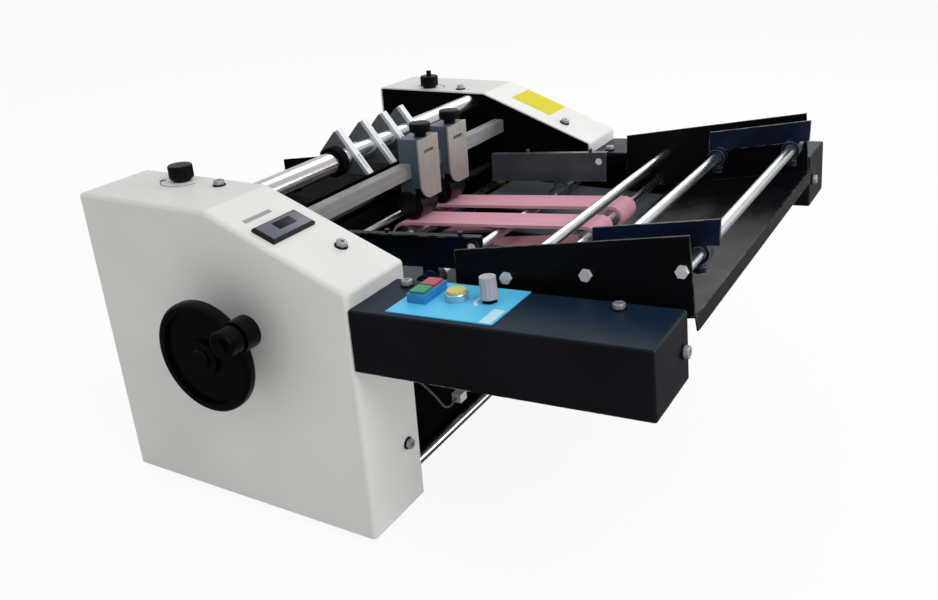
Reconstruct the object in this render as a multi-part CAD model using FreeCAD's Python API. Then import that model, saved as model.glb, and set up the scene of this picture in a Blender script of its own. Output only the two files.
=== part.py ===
"""Desktop paper creasing machine: two side cabinets, a feed tray and a crease station between them.

The drawing frame starts at the delivery end of the near cabinet: x runs to the feed end, y to the far
side, z up from the lower edge of the cabinets. Every piece is moved on export so that the origin is the
middle of the whole machine's floor area.
"""
import FreeCAD, Part
import math
import os

# Overall sizes
COVER_LENGTH = 287.0
COVER_HEIGHT = 280.0
COVER_FRONT_HEIGHT = 229.0
COVER_TOP_LENGTH = 150.0
COVER_WIDTH = 77.0
FRAME_GAP = 391.0
FOOT_DROP = 5.0
OVERRUN = 4.0
SEAT_GAP = 0.3
RUNNING_FIT = 0.05

# Cabinet covers of folded sheet
COVER_SHEET = 1.5
COVER_BEND = 4.0
COVER_TOP_SCREW_X = 110.0
COVER_TOP_SCREW_Y = 62.0
COVER_SLOPE_SCREW_SETBACK = 42.0
COVER_SLOPE_SCREW_Y = 53.0
COVER_END_SCREW_Y = 60.0
COVER_FRONT_SCREW_Z = 63.0
COVER_REAR_SCREW_Z = 110.0

# Side plates behind the covers
PLATE_THICKNESS = 4.0
PLATE_RECESS = 1.0
PLATE_EDGE_FIT = 0.3
TAB_WIDTH = 26.0
TAB_LENGTH = 30.0
ARM_REACH = 213.0
ARM_LOW_Z = 172.0
ARM_HIGH_Z = 208.0

# Hexagon headed screws with washers
SCREW_RADIUS = 2.5
SCREW_HEAD_ACROSS = 8.5
SCREW_HEAD_HEIGHT = 3.5
SCREW_SOCKET_DEPTH = 2.2
SCREW_SOCKET_ACROSS = 4.0
WASHER_RADIUS = 5.8
WASHER_THICKNESS = 1.2
SCREW_REACH = 9.0
SCREW_HOLE_FIT = 0.3

# Round bars and the square bar
TIE_SHAFT_X = 130.0
TIE_SHAFT_DROP = 14.0
TIE_SHAFT_RADIUS = 11.0
ROD_RADIUS = 5.0
GUIDE_ROD_X = 151.0
GUIDE_ROD_Z = 191.0
GUIDE_ROD_RADIUS = 3.5
TABLE_ROD_SETBACK = 10.4
TABLE_ROD_Z = 188.0
FRONT_TIE_SETBACK = 8.0
FRONT_TIE_Z = 23.0
REAR_TIE_X = 20.0
REAR_TIE_Z = 30.0
GATE_BAR_FACE_X = 175.0
GATE_BAR_DEPTH = 12.0
GATE_BAR_TOP_Z = 249.5
GATE_BAR_HEIGHT = 14.5

# Crease station
CREASE_X = 65.0
CREASE_LOW_Z = 165.0
CREASE_SHAFT_RADIUS = 13.0
CREASE_JOURNAL_RADIUS = 7.5
CREASE_BODY_MARGIN = 8.0
CREASE_RING_PITCH_RADIUS = 18.0
CREASE_RING_WIDTH = 12.0
CREASE_GROOVE_WIDTH = 3.0
CREASE_GROOVE_DEPTH = 1.8
CREASE_BLADE_WIDTH = 0.9
CREASE_BLADE_BITE = 1.0
CREASE_BACK_OFF = 0.4
CREASE_RING_REACH = 90.0
GEAR_TEETH = 18
GEAR_WIDTH = 10.0
GEAR_START = 28.0
GEAR_BACKLASH = 0.35
GEAR_TIP_SHARE = 0.9
GEAR_ROOT_SHARE = 1.25
GEAR_FLANK_STEPS = 4
PRESSURE_ANGLE_DEG = 20.0

# Feed shaft, belts and idler
FEED_X = 164.5
FEED_Z = 169.3
FEED_SHAFT_RADIUS = 6.0
FEED_DRUM_RADIUS = 14.0
FEED_DRUM_MARGIN = 2.0
BELT_THICKNESS = 3.0
BELT_WIDTH = 38.0
BELT_GAP = 25.0
FEED_CENTRE_Y = 311.5
IDLER_REACH = 85.0
IDLER_Z = 195.7
IDLER_SHAFT_RADIUS = 4.0
IDLER_RADIUS = 8.0

# Bearings and pressure gear
BEARING_WALL = 4.0
BEARING_FLANGE = 2.0
BEARING_FLANGE_LIP = 3.0
BLOCK_WIDTH = 26.0
BLOCK_HEIGHT = 30.0
BLOCK_DEPTH = 21.0
PRESSURE_X = 65.0
PRESSURE_Y = 62.0
PRESSURE_KNOB_RADIUS = 11.0
PRESSURE_KNOB_HEIGHT = 12.5
PRESSURE_KNOB_FOOT_RADIUS = 8.0
PRESSURE_KNOB_FOOT_HEIGHT = 2.0
PRESSURE_STUD_RADIUS = 3.0
PRESSURE_STUD_STICKOUT = 6.0
KNOB_FLUTES = 12
KNOB_FLUTE_RADIUS = 1.6
SPRING_RADIUS = 4.4
SPRING_WIRE_RADIUS = 0.6
SPRING_TURNS = 10

# Separator gates on the square bar
GATE_WIDTH = 38.0
GATE_BLOCK_MARGIN = 1.0
GATE_NEAR_Y = 283.0
GATE_SPACING = 59.0
GATE_BLOCK_REAR_X = 161.5
GATE_BLOCK_TOP_Z = 275.0
GATE_BLOCK_BOTTOM_Z = 224.0
GATE_PLATE_X = 187.0
GATE_PLATE_THICKNESS = 2.0
GATE_PLATE_BOTTOM_Z = 211.0
GATE_SLOT_LENGTH = 18.0
GATE_SLOT_WIDTH = 3.4
GATE_SLOT_DROP = 14.0
GATE_CHEEK_THICKNESS = 3.0
GATE_CHEEK_DEPTH = 16.0
GATE_WHEEL_RADIUS = 15.5
GATE_WHEEL_X = 168.5
GATE_PAPER_GAP = 0.6
GATE_AXLE_RADIUS = 3.0
GATE_KNOB_X = 178.0
GATE_KNOB_RADIUS = 11.0
GATE_KNOB_HEIGHT = 9.0
GATE_KNOB_NECK_RADIUS = 7.0
GATE_KNOB_NECK_HEIGHT = 5.0
GATE_STUD_RADIUS = 2.5
GATE_STUD_LENGTH = 14.0

# Hold-down arms on the round bar
ARM_THICKNESS = 8.0
HOLD_ARM_REACHES = (215.0, 257.0, 293.0, 325.0)
HOLD_APEX_RISE = 27.0
HOLD_APEX_BACK = 6.4
HOLD_REAR_X = 31.0
HOLD_REAR_Z = 2.3
HOLD_FOOT_Z = 16.0
HOLD_FOOT_BACK = 20.0
HOLD_TIP_X = 27.3
HOLD_TIP_Z = 15.3
HOLD_TOP_FLAT = 4.0
HOLD_STRIP_THICKNESS = 1.8
HOLD_SLOT_WIDTH = 3.0
HOLD_SLOT_LENGTH = 17.0
HOLD_SLOT_FROM_TIP = 6.0

# Paper guides between the cabinets
FRONT_GUIDE_Y = 134.0
FRONT_GUIDE_START_SETBACK = 97.0
FRONT_GUIDE_END_REACH = 44.0
FRONT_GUIDE_TOP_Z = 236.9
FRONT_GUIDE_HEIGHT = 32.0
FRONT_GUIDE_SHEET = 1.5
FRONT_GUIDE_LIP = 5.0
FRONT_GUIDE_BOLT_DROP = 10.7
FRONT_GUIDE_SLOPE_SHARE = 0.73
FRONT_GUIDE_SCREW_SHARES = (0.32, 0.86)
FRONT_HUB_RADIUS = 8.5
FRONT_HUB_LENGTH = 26.0
TRAY_GUIDE_Y = 118.0
TRAY_GUIDE_START_REACH = 151.0
TRAY_GUIDE_END_REACH = 249.0
TRAY_GUIDE_RISE = 20.0
TRAY_GUIDE_SHEET = 2.0
TRAY_HUB_RADIUS = 8.5
TRAY_HUB_LENGTH = 12.0
THUMB_SCREW_HEAD_RADIUS = 5.0
THUMB_SCREW_HEAD_HEIGHT = 5.0
THUMB_SCREW_SHANK_RADIUS = 2.0

# Feed tray
TRAY_REF_Z = 208.9
TRAY_TILT_DEG = 10.68
TRAY_ROD_REACHES = (94.5, 161.5, 234.0)
TRAY_PLATE_Y = 82.0
TRAY_PLATE_SHEET = 2.0
TRAY_PLATE_START_REACH = 48.0
TRAY_PLATE_START_TOP_Z = 243.0
TRAY_PLATE_END_REACH = 237.5
TRAY_PLATE_END_TOP_Z = 279.5
TRAY_PLATE_HEEL_REACH = 244.0
TRAY_FLOOR_DROP = 35.0
TRAY_FLOOR_SHEET = 1.5
TRAY_FLOOR_START_REACH = 107.0
TRAY_FLOOR_END_REACH = 245.0
TRAY_FLOOR_LIP = 11.0
TRAY_STANDOFF_RADIUS = 4.0
TRAY_STANDOFF_REACHES = (63.0, 173.0)
TRAY_STANDOFF_RISE = 7.0
TRAY_BOLT_ACROSS = 8.5
TRAY_BOLT_HEAD = 3.8
TRAY_BOLT_RADIUS = 2.5
TRAY_BOLT_REACH = 12.0
TABLE_START_X = 188.0
TABLE_END_REACH = 109.0
TABLE_Z = 177.0
TABLE_LIP = 9.0
TABLE_SLOT_END_REACH = 46.0
TABLE_SLOT_MARGIN = 3.0

# Sheet pieces between the cabinets
APRON_SETBACK = 25.0
APRON_SHEET = 1.5
APRON_LOW_Z = 14.0
APRON_LIP = 12.0
APRON_NOTCH_DEPTH = 13.0
BRIDGE_START_X = 88.0
BRIDGE_END_X = 136.0
BRIDGE_DROP = 4.0
BRIDGE_SHEET = 1.5
BRIDGE_LIP = 10.0
EXIT_START_X = 2.0
EXIT_END_X = 42.0
EXIT_FALL = 6.0
GUARD_START_X = 46.0
GUARD_END_X = 105.0
GUARD_CLEARANCE = 7.0
GUARD_FRONT_DEPTH = 28.0

# Control boxes and what is on them
BOX_LENGTH = 246.0
BOX_WIDTH = 69.4
BOX_HEIGHT = 52.7
BOX_LOW_Z = 163.7
BOX_TILT_DEG = 3.4
BOX_SHEET = 1.5
BOX_BEND = 2.0
BOX_SCREW_ALONG = (20.5, 200.5)
BOX_SCREW_Y = 57.0
BOX_END_SCREW_Y = 57.0
BOX_END_SCREW_RISE = 26.0
BOX_PAD_REACHES = (43.0, 168.0)
BOX_PAD_SIZE = 16.0
PANEL_START = 34.0
PANEL_LENGTH = 91.5
PANEL_SHEET = 0.8
PANEL_EDGE_Y = 6.0
PANEL_INNER_MARGIN = 0.6
TWIN_START = 42.0
TWIN_LENGTH = 16.5
TWIN_START_Y = 24.5
TWIN_WIDTH = 33.0
TWIN_HEIGHT = 7.5
TWIN_WALL = 1.6
TWIN_BUTTON_HEIGHT = 5.0
BUTTON_WELL_FLOOR = 1.5
BUTTON_TRAVEL = 2.5
BUTTON_FIT = 0.3
YELLOW_ALONG = 77.5
YELLOW_Y = 40.0
YELLOW_RADIUS = 7.4
YELLOW_BEZEL_WALL = 1.6
YELLOW_BEZEL_HEIGHT = 6.5
YELLOW_BUTTON_STICKOUT = 2.0
SPEED_ALONG = 104.0
SPEED_Y = 43.0
SPEED_KNOB_RADIUS = 6.9
SPEED_KNOB_TOP_RADIUS = 6.3
SPEED_KNOB_HEIGHT = 17.0
SPEED_NUT_RADIUS = 6.4
SPEED_NUT_HEIGHT = 3.0
SPEED_STEM_RADIUS = 3.0
SPEED_STEM_HEIGHT = 10.0

# Panel counter on the near cabinet
COUNTER_MID_SETBACK = 85.0
COUNTER_MID_Y = 35.5
COUNTER_BEZEL_LENGTH = 52.0
COUNTER_BEZEL_WIDTH = 23.5
COUNTER_BEZEL_HEIGHT = 3.5
COUNTER_BODY_LENGTH = 46.0
COUNTER_BODY_WIDTH = 20.0
COUNTER_BODY_DEPTH = 30.0
COUNTER_RECESS_MARGIN = 4.0
COUNTER_RECESS_DEPTH = 1.6

# Handwheel on the feed shaft
WHEEL_RADIUS = 49.0
WHEEL_OUTER_Y = -42.0
WHEEL_RIM_WIDTH = 11.5
WHEEL_RIM_ROUND = 4.0
WHEEL_RIM_THICKNESS = 8.0
WHEEL_WEB_THICKNESS = 5.0
WHEEL_HUB_RADIUS = 16.0
WHEEL_HUB_GAP = 2.0
WHEEL_LUG_RADIUS = 13.8
WHEEL_LUG_DEPTH = 15.0
WHEEL_LUG_ANGLE_DEG = 33.0
WHEEL_LUG_OFFSET = 50.0
HANDLE_RADIUS = 12.0
HANDLE_LENGTH = 16.0
HANDLE_PIN_RADIUS = 4.0
HANDLE_PIN_CAP_RADIUS = 6.0
HANDLE_PIN_CAP_HEIGHT = 2.0
HANDLE_END_ROUND = 2.0

# Drive in the far cabinet
MOTOR_X = 205.0
MOTOR_Z = 84.0
MOTOR_RADIUS = 29.0
MOTOR_LENGTH = 50.0
MOTOR_STANDOFF = 15.0
MOTOR_PILLAR_RADIUS = 3.5
MOTOR_PILLAR_OFFSET = 18.0
MOTOR_SHAFT_RADIUS = 4.0
MOTOR_SHAFT_END_GAP = 1.0
MOTOR_PULLEY_RADIUS = 11.0
DRIVE_PULLEY_RADIUS = 16.0
PULLEY_FLANGE = 1.0
TIMING_BELT_WIDTH = 8.0
TIMING_BELT_THICKNESS = 2.0
FIRST_BELT_START = 5.0
SECOND_BELT_START = 16.0
INLET_WIDTH = 27.0
INLET_HEIGHT = 20.0
INLET_DEPTH = 18.0
INLET_BEZEL = 5.0
INLET_BEZEL_SHEET = 2.0
INLET_WALL = 3.0
INLET_Z = 60.0
INLET_Y = 510.0
PIN_WIDTH = 4.0
PIN_THICKNESS = 2.0
PIN_PITCH = 7.0

# Feet
FOOT_RADIUS = 9.0
FOOT_INSET_X = 24.0
FOOT_Y = 58.0
FOOT_STUD_RADIUS = 3.0
FOOT_STUD_LENGTH = 8.0
FOOT_ROUND = 1.5

# Paper sensor on the round bar
SENSOR_Y = 198.0
SENSOR_SHEET = 2.0
SENSOR_RING_RADIUS = 15.0
SENSOR_RING_WIDTH = 9.0
SENSOR_END_X = 65.0
SENSOR_END_TOP_DROP = 3.0
SENSOR_END_LOW_DROP = 30.0
SENSOR_ROOT_TOP_RISE = 4.5
SENSOR_ROOT_LOW_DROP = 8.0
SENSOR_ROOT_X = 116.0
SENSOR_HEAD_LENGTH = 14.0
SENSOR_HEAD_WIDTH = 10.0
SENSOR_HEAD_HEIGHT = 12.0

# Small lead and plug under the near control box
PLUG_Y = 173.0
PLUG_Z = 39.0
PLUG_LENGTH = 12.0
PLUG_WIDTH = 10.0
PLUG_HEIGHT = 9.0
LEAD_RADIUS = 1.1
LEAD_BENDS = (
    (0.0, 0.0, 0.0),
    (0.0, -8.0, -2.0),
    (0.5, -17.0, -1.0),
    (1.0, -26.0, 6.0),
    (1.0, -34.0, 18.0),
    (0.5, -50.0, 38.0),
    (1.0, -72.0, 62.0),
    (2.0, -95.2, 80.0),
)

# Places worked out from the sizes above
TOTAL_WIDTH = 2 * COVER_WIDTH + FRAME_GAP
MID_Y = TOTAL_WIDTH / 2
COVER_SLOPE_SCREW_X = COVER_LENGTH - COVER_SLOPE_SCREW_SETBACK
TABLE_ROD_X = COVER_LENGTH - TABLE_ROD_SETBACK
FRONT_TIE_X = COVER_LENGTH - FRONT_TIE_SETBACK
IDLER_X = COVER_LENGTH + IDLER_REACH
FRONT_GUIDE_START_X = COVER_LENGTH - FRONT_GUIDE_START_SETBACK
FRONT_GUIDE_END_X = COVER_LENGTH + FRONT_GUIDE_END_REACH
TRAY_GUIDE_START_X = COVER_LENGTH + TRAY_GUIDE_START_REACH
TRAY_GUIDE_END_X = COVER_LENGTH + TRAY_GUIDE_END_REACH
TRAY_PLATE_START_X = COVER_LENGTH + TRAY_PLATE_START_REACH
TRAY_PLATE_END_X = COVER_LENGTH + TRAY_PLATE_END_REACH
TRAY_PLATE_HEEL_X = COVER_LENGTH + TRAY_PLATE_HEEL_REACH
TRAY_FLOOR_START_X = COVER_LENGTH + TRAY_FLOOR_START_REACH
TRAY_FLOOR_END_X = COVER_LENGTH + TRAY_FLOOR_END_REACH
TABLE_END_X = COVER_LENGTH + TABLE_END_REACH
TABLE_SLOT_END_X = COVER_LENGTH + TABLE_SLOT_END_REACH
APRON_X = COVER_LENGTH - APRON_SETBACK
COUNTER_MID_X = COVER_LENGTH - COUNTER_MID_SETBACK
TRAY_ROD_XS = [COVER_LENGTH + reach for reach in TRAY_ROD_REACHES]
TRAY_STANDOFF_XS = [COVER_LENGTH + reach for reach in TRAY_STANDOFF_REACHES]
BOX_PAD_XS = [COVER_LENGTH + reach for reach in BOX_PAD_REACHES]
TIE_SHAFT_Z = COVER_HEIGHT - TIE_SHAFT_DROP
SENSOR_END_TOP_Z = TIE_SHAFT_Z - SENSOR_END_TOP_DROP
SENSOR_END_LOW_Z = TIE_SHAFT_Z - SENSOR_END_LOW_DROP
SENSOR_ROOT_TOP_Z = TIE_SHAFT_Z + SENSOR_ROOT_TOP_RISE
SENSOR_ROOT_LOW_Z = TIE_SHAFT_Z - SENSOR_ROOT_LOW_DROP
PLATE_INNER_Y = COVER_WIDTH - PLATE_RECESS
PLATE_OUTER_Y = PLATE_INNER_Y - PLATE_THICKNESS
FAR_PLATE_INNER_Y = TOTAL_WIDTH - PLATE_INNER_Y
FAR_PLATE_OUTER_Y = TOTAL_WIDTH - PLATE_OUTER_Y
SLOPE_RUN = COVER_LENGTH - COVER_TOP_LENGTH
SLOPE_DROP = COVER_HEIGHT - COVER_FRONT_HEIGHT
SLOPE_ANGLE = math.atan2(SLOPE_DROP, SLOPE_RUN)
CREASE_HIGH_Z = CREASE_LOW_Z + 2 * CREASE_RING_PITCH_RADIUS
BELT_LOOP_FEED_RADIUS = FEED_DRUM_RADIUS + SEAT_GAP
BELT_LOOP_IDLER_RADIUS = IDLER_RADIUS + SEAT_GAP
BELT_NEAR_Y = FEED_CENTRE_Y - BELT_GAP / 2 - BELT_WIDTH
BELT_FAR_Y = FEED_CENTRE_Y + BELT_GAP / 2
BOX_TILT = math.radians(BOX_TILT_DEG)
TRAY_SLOPE = math.tan(math.radians(TRAY_TILT_DEG))
X_AXIS = FreeCAD.Vector(1, 0, 0)
Y_AXIS = FreeCAD.Vector(0, 1, 0)
Z_AXIS = FreeCAD.Vector(0, 0, 1)


def box(x0, x1, y0, y1, z0, z1):
    """Upright block between two limits on each axis."""
    return Part.makeBox(x1 - x0, y1 - y0, z1 - z0, FreeCAD.Vector(x0, y0, z0))


def rod_y(x, z, radius, y0, y1):
    """Round bar along the machine's width."""
    return Part.makeCylinder(radius, y1 - y0, FreeCAD.Vector(x, y0, z), Y_AXIS)


def rod_z(x, y, radius, z0, z1):
    """Round upright bar."""
    return Part.makeCylinder(radius, z1 - z0, FreeCAD.Vector(x, y, z0), Z_AXIS)


def prism_y(outline, y0, y1):
    """Side outline of x and z points, pushed along the width."""
    corners = [FreeCAD.Vector(x, y0, z) for x, z in outline]
    wire = Part.makePolygon(corners + corners[:1])
    return Part.Face(wire).extrude(FreeCAD.Vector(0, y1 - y0, 0))


def joined(shapes):
    """Solids joined into one."""
    first = shapes[0]
    return first.fuse(shapes[1:]).removeSplitter()


def mirrored(shape):
    """The same piece on the far side of the machine."""
    return shape.mirror(FreeCAD.Vector(0, MID_Y, 0), Y_AXIS)


def hexagon(across, height):
    """Upright six-sided prism standing on the origin."""
    corner = across / math.sqrt(3)
    points = []
    for step in range(6):
        angle = math.radians(60 * step)
        points.append(FreeCAD.Vector(corner * math.cos(angle), corner * math.sin(angle), 0))
    return Part.Face(Part.makePolygon(points + points[:1])).extrude(FreeCAD.Vector(0, 0, height))


def turned_to(shape, point, direction):
    """A piece drawn upright on the origin, set on a point and turned to a direction."""
    placed = shape.copy()
    placed.Placement = FreeCAD.Placement(point, FreeCAD.Rotation(Z_AXIS, direction))
    return placed


def long_edges(solid, keep):
    """Edges whose two ends both pass the test."""
    return [edge for edge in solid.Edges if all(keep(end.Point) for end in edge.Vertexes)]


def fluted(solid, x, y, radius, z0, z1):
    """Round upright knob with grooves cut along its side."""
    cuts = []
    for step in range(KNOB_FLUTES):
        angle = 2 * math.pi * step / KNOB_FLUTES
        reach = radius + KNOB_FLUTE_RADIUS / 2
        flute_x = x + reach * math.cos(angle)
        flute_y = y + reach * math.sin(angle)
        cuts.append(rod_z(flute_x, flute_y, KNOB_FLUTE_RADIUS, z0, z1))
    return solid.cut(cuts)


def hull_y(first, first_radius, second, second_radius, y0, y1):
    """Solid round two circles in the side view, with straight sides that touch both."""
    run = second[0] - first[0]
    rise = second[1] - first[1]
    lean = math.atan2(rise, run)
    spread = math.acos((first_radius - second_radius) / math.hypot(run, rise))

    def on(centre, radius, angle):
        x = centre[0] + radius * math.cos(angle)
        z = centre[1] + radius * math.sin(angle)
        return FreeCAD.Vector(x, y0, z)

    top_first = on(first, first_radius, lean + spread)
    top_second = on(second, second_radius, lean + spread)
    low_first = on(first, first_radius, lean - spread)
    low_second = on(second, second_radius, lean - spread)
    edges = [
        Part.LineSegment(top_first, top_second).toShape(),
        Part.Arc(top_second, on(second, second_radius, lean), low_second).toShape(),
        Part.LineSegment(low_second, low_first).toShape(),
        Part.Arc(low_first, on(first, first_radius, lean + math.pi), top_first).toShape(),
    ]
    return Part.Face(Part.Wire(edges)).extrude(FreeCAD.Vector(0, y1 - y0, 0))


def belt_loop(first, first_radius, second, second_radius, thickness, y0, y1):
    """Flat belt run round two pulleys."""
    outer = hull_y(first, first_radius + thickness, second, second_radius + thickness, y0, y1)
    inner = hull_y(first, first_radius, second, second_radius, y0 - OVERRUN, y1 + OVERRUN)
    return outer.cut(inner)


def cabinet_outline(inset, low_z):
    """Side outline of a cabinet, drawn in by the inset on all sides but the lower one."""
    along = math.hypot(SLOPE_RUN, SLOPE_DROP)
    fall = SLOPE_DROP / SLOPE_RUN
    start_x = COVER_TOP_LENGTH - inset * SLOPE_DROP / along
    start_z = COVER_HEIGHT - inset * SLOPE_RUN / along
    top_z = COVER_HEIGHT - inset
    front_x = COVER_LENGTH - inset
    top_x = start_x + (start_z - top_z) / fall
    front_z = start_z - fall * (front_x - start_x)
    return [(inset, low_z), (front_x, low_z), (front_x, front_z), (top_x, top_z), (inset, top_z)]


def slope_point(x, depth):
    """Point under the sloping face of a cabinet, at a depth square to that face."""
    surface_z = COVER_HEIGHT - (x - COVER_TOP_LENGTH) * SLOPE_DROP / SLOPE_RUN
    return x - depth * math.sin(SLOPE_ANGLE), surface_z - depth * math.cos(SLOPE_ANGLE)


def slope_normal():
    """Direction square to the sloping face of a cabinet, pointing out."""
    return FreeCAD.Vector(math.sin(SLOPE_ANGLE), 0, math.cos(SLOPE_ANGLE))


def tray_z(x, drop):
    """Height of the tray's slanted plane at x, with a drop below the middles of its rods."""
    return TRAY_REF_Z + (x - COVER_LENGTH) * TRAY_SLOPE - drop


def rounded_box_shell(outline, y0, y1, low_z, bend):
    """Outline pushed along the width, its outer bends rounded, its lower and inner sides left sharp."""
    solid = prism_y(outline, y0, y1)
    low_edges = long_edges(solid, lambda p: abs(p.z - low_z) < RUNNING_FIT)
    open_edges = long_edges(solid, lambda p: abs(p.y - y1) < RUNNING_FIT)
    left = [e.hashCode() for e in low_edges + open_edges]
    bends = [e for e in solid.Edges if e.hashCode() not in left]
    return solid.makeFillet(bend, bends)


def cover_shell():
    """Folded cabinet cover, open below and on its inner side."""
    outer = rounded_box_shell(cabinet_outline(0, 0), 0, COVER_WIDTH, 0, COVER_BEND)
    inner_outline = cabinet_outline(COVER_SHEET, -OVERRUN)
    inner_bend = COVER_BEND - COVER_SHEET
    inner = rounded_box_shell(inner_outline, COVER_SHEET, COVER_WIDTH + OVERRUN, -OVERRUN, inner_bend)
    return outer.cut(inner)


def cover_screw_places():
    """Place and outward direction of every screw in a near cabinet cover."""
    slope_x, slope_z = slope_point(COVER_SLOPE_SCREW_X, 0)
    return [
        (FreeCAD.Vector(COVER_TOP_SCREW_X, COVER_TOP_SCREW_Y, COVER_HEIGHT), Z_AXIS),
        (FreeCAD.Vector(slope_x, COVER_SLOPE_SCREW_Y, slope_z), slope_normal()),
        (FreeCAD.Vector(COVER_LENGTH, COVER_END_SCREW_Y, COVER_FRONT_SCREW_Z), X_AXIS),
        (FreeCAD.Vector(0, COVER_END_SCREW_Y, COVER_REAR_SCREW_Z), X_AXIS * -1),
    ]


def screw_hole(point, direction):
    """Hole for a screw, cut from its seat inwards."""
    reach = SCREW_REACH + OVERRUN
    return Part.makeCylinder(SCREW_RADIUS, reach + OVERRUN, point + direction * OVERRUN, direction * -1)


def hex_screw(point, direction):
    """Hexagon screw with a round washer and a six-sided socket."""
    washer = Part.makeCylinder(WASHER_RADIUS, WASHER_THICKNESS)
    head = hexagon(SCREW_HEAD_ACROSS, SCREW_HEAD_HEIGHT)
    head.translate(FreeCAD.Vector(0, 0, WASHER_THICKNESS))
    socket = hexagon(SCREW_SOCKET_ACROSS, SCREW_SOCKET_DEPTH + OVERRUN)
    socket.translate(FreeCAD.Vector(0, 0, WASHER_THICKNESS + SCREW_HEAD_HEIGHT - SCREW_SOCKET_DEPTH))
    shank = Part.makeCylinder(SCREW_RADIUS, SCREW_REACH, FreeCAD.Vector(0, 0, 0), Z_AXIS * -1)
    return turned_to(joined([washer, head, shank]).cut(socket), point, direction)


def arm_notch():
    """Opening in a cover's feed end for the side plate's arm and the table's edge."""
    low = ARM_LOW_Z - 2 * PLATE_THICKNESS
    return box(COVER_LENGTH - COVER_BEND, COVER_LENGTH + OVERRUN, PLATE_OUTER_Y - SEAT_GAP,
               COVER_WIDTH + OVERRUN, low, ARM_HIGH_Z + PLATE_THICKNESS)


def near_side_cover():
    """Cover on the operator's side, with openings for the counter, the knob and the handwheel shaft."""
    cuts = [screw_hole(point, direction) for point, direction in cover_screw_places()]
    cuts.append(arm_notch())
    cuts.append(rod_z(PRESSURE_X, PRESSURE_Y, PRESSURE_STUD_RADIUS + SCREW_HOLE_FIT,
                      COVER_HEIGHT - COVER_SHEET - OVERRUN, COVER_HEIGHT + OVERRUN))
    cuts.append(rod_y(FEED_X, FEED_Z, FEED_SHAFT_RADIUS + WHEEL_HUB_GAP, -OVERRUN, COVER_SHEET + OVERRUN))
    cuts.append(counter_hole())
    return cover_shell().cut(cuts)


def far_side_cover():
    """Cover on the far side, with openings for the knob and the mains inlet."""
    cuts = [screw_hole(point, direction) for point, direction in cover_screw_places()]
    cuts.append(arm_notch())
    cuts.append(rod_z(PRESSURE_X, PRESSURE_Y, PRESSURE_STUD_RADIUS + SCREW_HOLE_FIT,
                      COVER_HEIGHT - COVER_SHEET - OVERRUN, COVER_HEIGHT + OVERRUN))
    cover = mirrored(cover_shell().cut(cuts))
    half_width = INLET_WIDTH / 2 + SCREW_HOLE_FIT
    half_height = INLET_HEIGHT / 2 + SCREW_HOLE_FIT
    return cover.cut(box(-OVERRUN, COVER_SHEET + OVERRUN, INLET_Y - half_width, INLET_Y + half_width,
                         INLET_Z - half_height, INLET_Z + half_height))


def cross_bar_places():
    """Side view places of the bars that run from one side plate to the other, with their radius."""
    return [
        (TIE_SHAFT_X, TIE_SHAFT_Z),
        (GUIDE_ROD_X, GUIDE_ROD_Z),
        (TABLE_ROD_X, TABLE_ROD_Z),
        (FRONT_TIE_X - ROD_RADIUS, FRONT_TIE_Z),
        (REAR_TIE_X, REAR_TIE_Z),
        (GATE_BAR_FACE_X - GATE_BAR_DEPTH / 2, GATE_BAR_TOP_Z - GATE_BAR_HEIGHT / 2),
    ]


def bolt_radius_at(x, z):
    """Bolt size for a cross bar: the thin guide rod takes a thinner bolt."""
    thin = (x, z) == (GUIDE_ROD_X, GUIDE_ROD_Z)
    return TRAY_BOLT_RADIUS / 2 if thin else TRAY_BOLT_RADIUS


def side_arm():
    """Arm of a side plate that reaches forward inside the control box and carries the tray."""
    rise = math.tan(BOX_TILT)
    root_x = COVER_LENGTH - PLATE_THICKNESS * 2
    tip_x = COVER_LENGTH + ARM_REACH
    outline = [
        (root_x, ARM_LOW_Z + (root_x - COVER_LENGTH) * rise),
        (tip_x, ARM_LOW_Z + ARM_REACH * rise),
        (tip_x, ARM_HIGH_Z + ARM_REACH * rise),
        (root_x, ARM_HIGH_Z + (root_x - COVER_LENGTH) * rise),
    ]
    arm = prism_y(outline, PLATE_OUTER_Y, PLATE_INNER_Y)
    pads = []
    for x in BOX_PAD_XS:
        low = ARM_LOW_Z + (x - COVER_LENGTH) * rise + (ARM_HIGH_Z - ARM_LOW_Z - BOX_PAD_SIZE) / 2
        pads.append(box(x, x + BOX_PAD_SIZE, BOX_WIDTH, PLATE_OUTER_Y, low, low + BOX_PAD_SIZE))
    return [arm] + pads


def side_plate_tabs():
    """Flanges folded out from a side plate under the cover's screws, its knob and its feet."""
    inset = COVER_SHEET + PLATE_EDGE_FIT
    top = COVER_HEIGHT - inset
    tab_start = PLATE_OUTER_Y - TAB_WIDTH
    front = COVER_LENGTH - inset
    half = TAB_LENGTH / 2
    reach = half * math.cos(SLOPE_ANGLE)
    slope_outline = [
        slope_point(COVER_SLOPE_SCREW_X - reach, inset),
        slope_point(COVER_SLOPE_SCREW_X + reach, inset),
        slope_point(COVER_SLOPE_SCREW_X + reach, inset + PLATE_THICKNESS),
        slope_point(COVER_SLOPE_SCREW_X - reach, inset + PLATE_THICKNESS),
    ]
    return [
        box(PRESSURE_X - half, COVER_TOP_SCREW_X + half, tab_start, PLATE_OUTER_Y,
            top - PLATE_THICKNESS, top),
        prism_y(slope_outline, tab_start, PLATE_OUTER_Y),
        box(front - PLATE_THICKNESS, front, tab_start, PLATE_OUTER_Y,
            COVER_FRONT_SCREW_Z - half, COVER_FRONT_SCREW_Z + half),
        box(inset, inset + PLATE_THICKNESS, tab_start, PLATE_OUTER_Y,
            COVER_REAR_SCREW_Z - half, COVER_REAR_SCREW_Z + half),
        box(inset, front, tab_start, PLATE_OUTER_Y, 0, PLATE_THICKNESS),
    ]


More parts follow.
